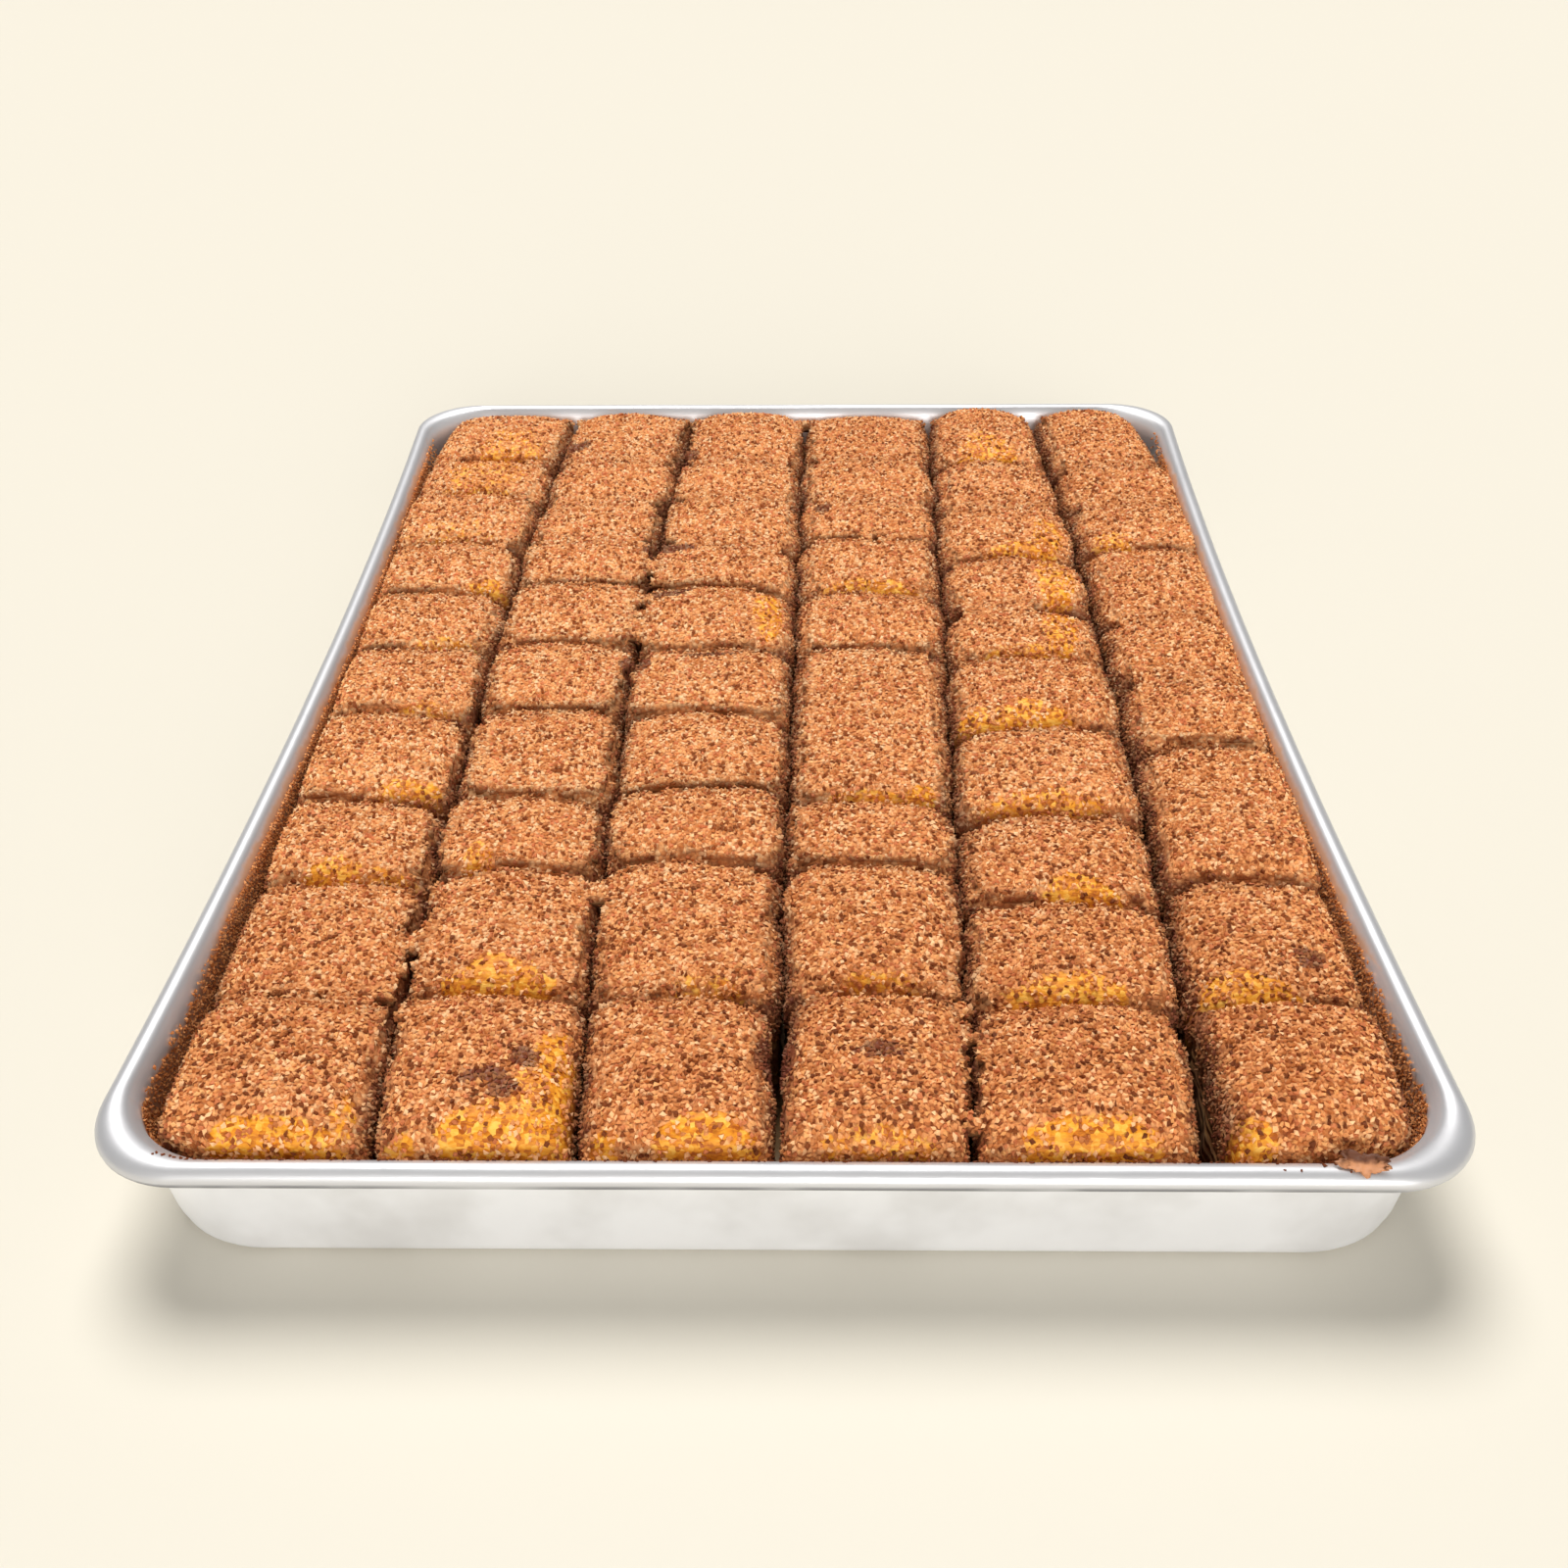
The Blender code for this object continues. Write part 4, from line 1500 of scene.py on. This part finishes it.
# %% The leaf
LEAF_MIDDLE = Vector((132.5, -225.2, 39.0)) * MM
LEAF_LENGTH = 10.5 * MM
LEAF_WIDTH = 4.6 * MM
LEAF_RISE = 2.4 * MM
LEAF_CURL = 0.9 * MM
LEAF_CRUMPLE = 0.6 * MM
LEAF_THICKNESS = 0.35 * MM
LEAF_TEARS = (3.1, 1.9)
LEAF_CREASES = (4, 3)
LEAF_RAGGED = 0.7
LEAF_TAPER = 0.75
LEAF_CELLS = (18, 8)
LEAF_TURN = math.radians(-12)
LEAF_BROWN = (0.13, 0.038, 0.012)
LEAF_TAN = (0.62, 0.270, 0.120)
LEAF_SPOT_SIZE = 3 * MM
LEAF_ROUGHNESS = 0.6


def leaf_noise(across, along, waves, seed):
    """Noise from -1 to 1 over the leaf, with so many waves across and along it."""
    return noise.noise(Vector((across * waves[0], along * waves[1], seed)))


def leaf_point(across, along):
    """A point of the leaf: across and along run from -1 to 1, and its far edge stands up."""
    ragged = 1 + LEAF_RAGGED * leaf_noise(across, along, LEAF_TEARS, SEED)
    taper = 1 - LEAF_TAPER * abs(across) ** 1.5
    x = across * ragged * LEAF_LENGTH / 2
    y = along * ragged * taper * LEAF_WIDTH / 2
    crumple = LEAF_CRUMPLE * leaf_noise(across, along, LEAF_CREASES, SEED + 1)
    z = (along + 1) ** 2 * LEAF_RISE / 4 + LEAF_CURL * across * across - LEAF_RISE / 3 + crumple
    return LEAF_MIDDLE + Matrix.Rotation(LEAF_TURN, 3, "Z") @ Vector((x, y, z))


def leaf_finish():
    """Tan, and darker towards the edge that stands up."""
    material, board, shader = new_material("browned_leaf")
    spots = board.noise(board.place(), LEAF_SPOT_SIZE, 3)
    darker_edge = board.rise(painted(board, "toast") + spots - 0.5, 0.1, 0.7)
    plug_all(shader, {"Base Color": board.mix(darker_edge, LEAF_TAN, LEAF_BROWN), "Roughness": LEAF_ROUGHNESS})
    return material


def make_leaf():
    builder = bmesh.new()
    toast = builder.verts.layers.float.new("toast")
    across_cells, along_cells = LEAF_CELLS
    along_shares = [2 * j / along_cells - 1 for j in range(along_cells + 1)]
    grid = []
    for i in range(across_cells + 1):
        line = [builder.verts.new(leaf_point(2 * i / across_cells - 1, along)) for along in along_shares]
        for vertex, along in zip(line, along_shares):
            vertex[toast] = 0.25 + 0.75 * max(along, 0.0)
        grid.append(line)
    for i in range(across_cells):
        for j in range(along_cells):
            builder.faces.new((grid[i][j], grid[i + 1][j], grid[i + 1][j + 1], grid[i][j + 1]))
    leaf = add_object("fallen_leaf", make_mesh("fallen_leaf", builder, leaf_finish()))
    leaf.data.shade_smooth()
    leaf.modifiers.new("thickness", "SOLIDIFY").thickness = LEAF_THICKNESS
    return leaf


leaf = make_leaf()
keep_results([leaf])
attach(leaf, "root")
print("leaf faces:", len(leaf.data.polygons))

# %% Crumbs on the rim
# Each zone says x from and to, y from and to, and how many crumbs, in millimetres.
CRUMB_ZONES = (
    (-146, 70, -223.2, -221.0, 190),
    (70, 142, -223.4, -221.0, 50),
    (112, 140, -226.5, -223.0, 8),
)
CRUMB_HEIGHT = 38
CRUMB_SIZE = (0.5, 1.1)
CRUMB_FOOT = 0.7
CRUMB_TIP = 0.2


def make_crumbs():
    chance = random.Random(SEED)
    builder = bmesh.new()
    for x_from, x_to, y_from, y_to, count in CRUMB_ZONES:
        for _ in range(count):
            spot = Vector((chance.uniform(x_from, x_to), chance.uniform(y_from, y_to), CRUMB_HEIGHT))
            _, landed, _, _ = tray.closest_point_on_mesh(spot * MM)
            turn = Matrix.Rotation(chance.uniform(0, math.tau), 4, (chance.random(), chance.random(), 1))
            size = chance.uniform(*CRUMB_SIZE) * MM
            bmesh.ops.create_cone(
                builder,
                cap_ends=True,
                segments=4,
                radius1=size * CRUMB_FOOT,
                radius2=size * CRUMB_TIP,
                depth=size,
                matrix=Matrix.Translation(landed) @ turn,
            )
    return add_object("stray_crumbs", make_mesh("stray_crumbs", builder, grain_finishes["dark"]))


crumbs = make_crumbs()
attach(crumbs, "root")
print("crumb faces:", len(crumbs.data.polygons))
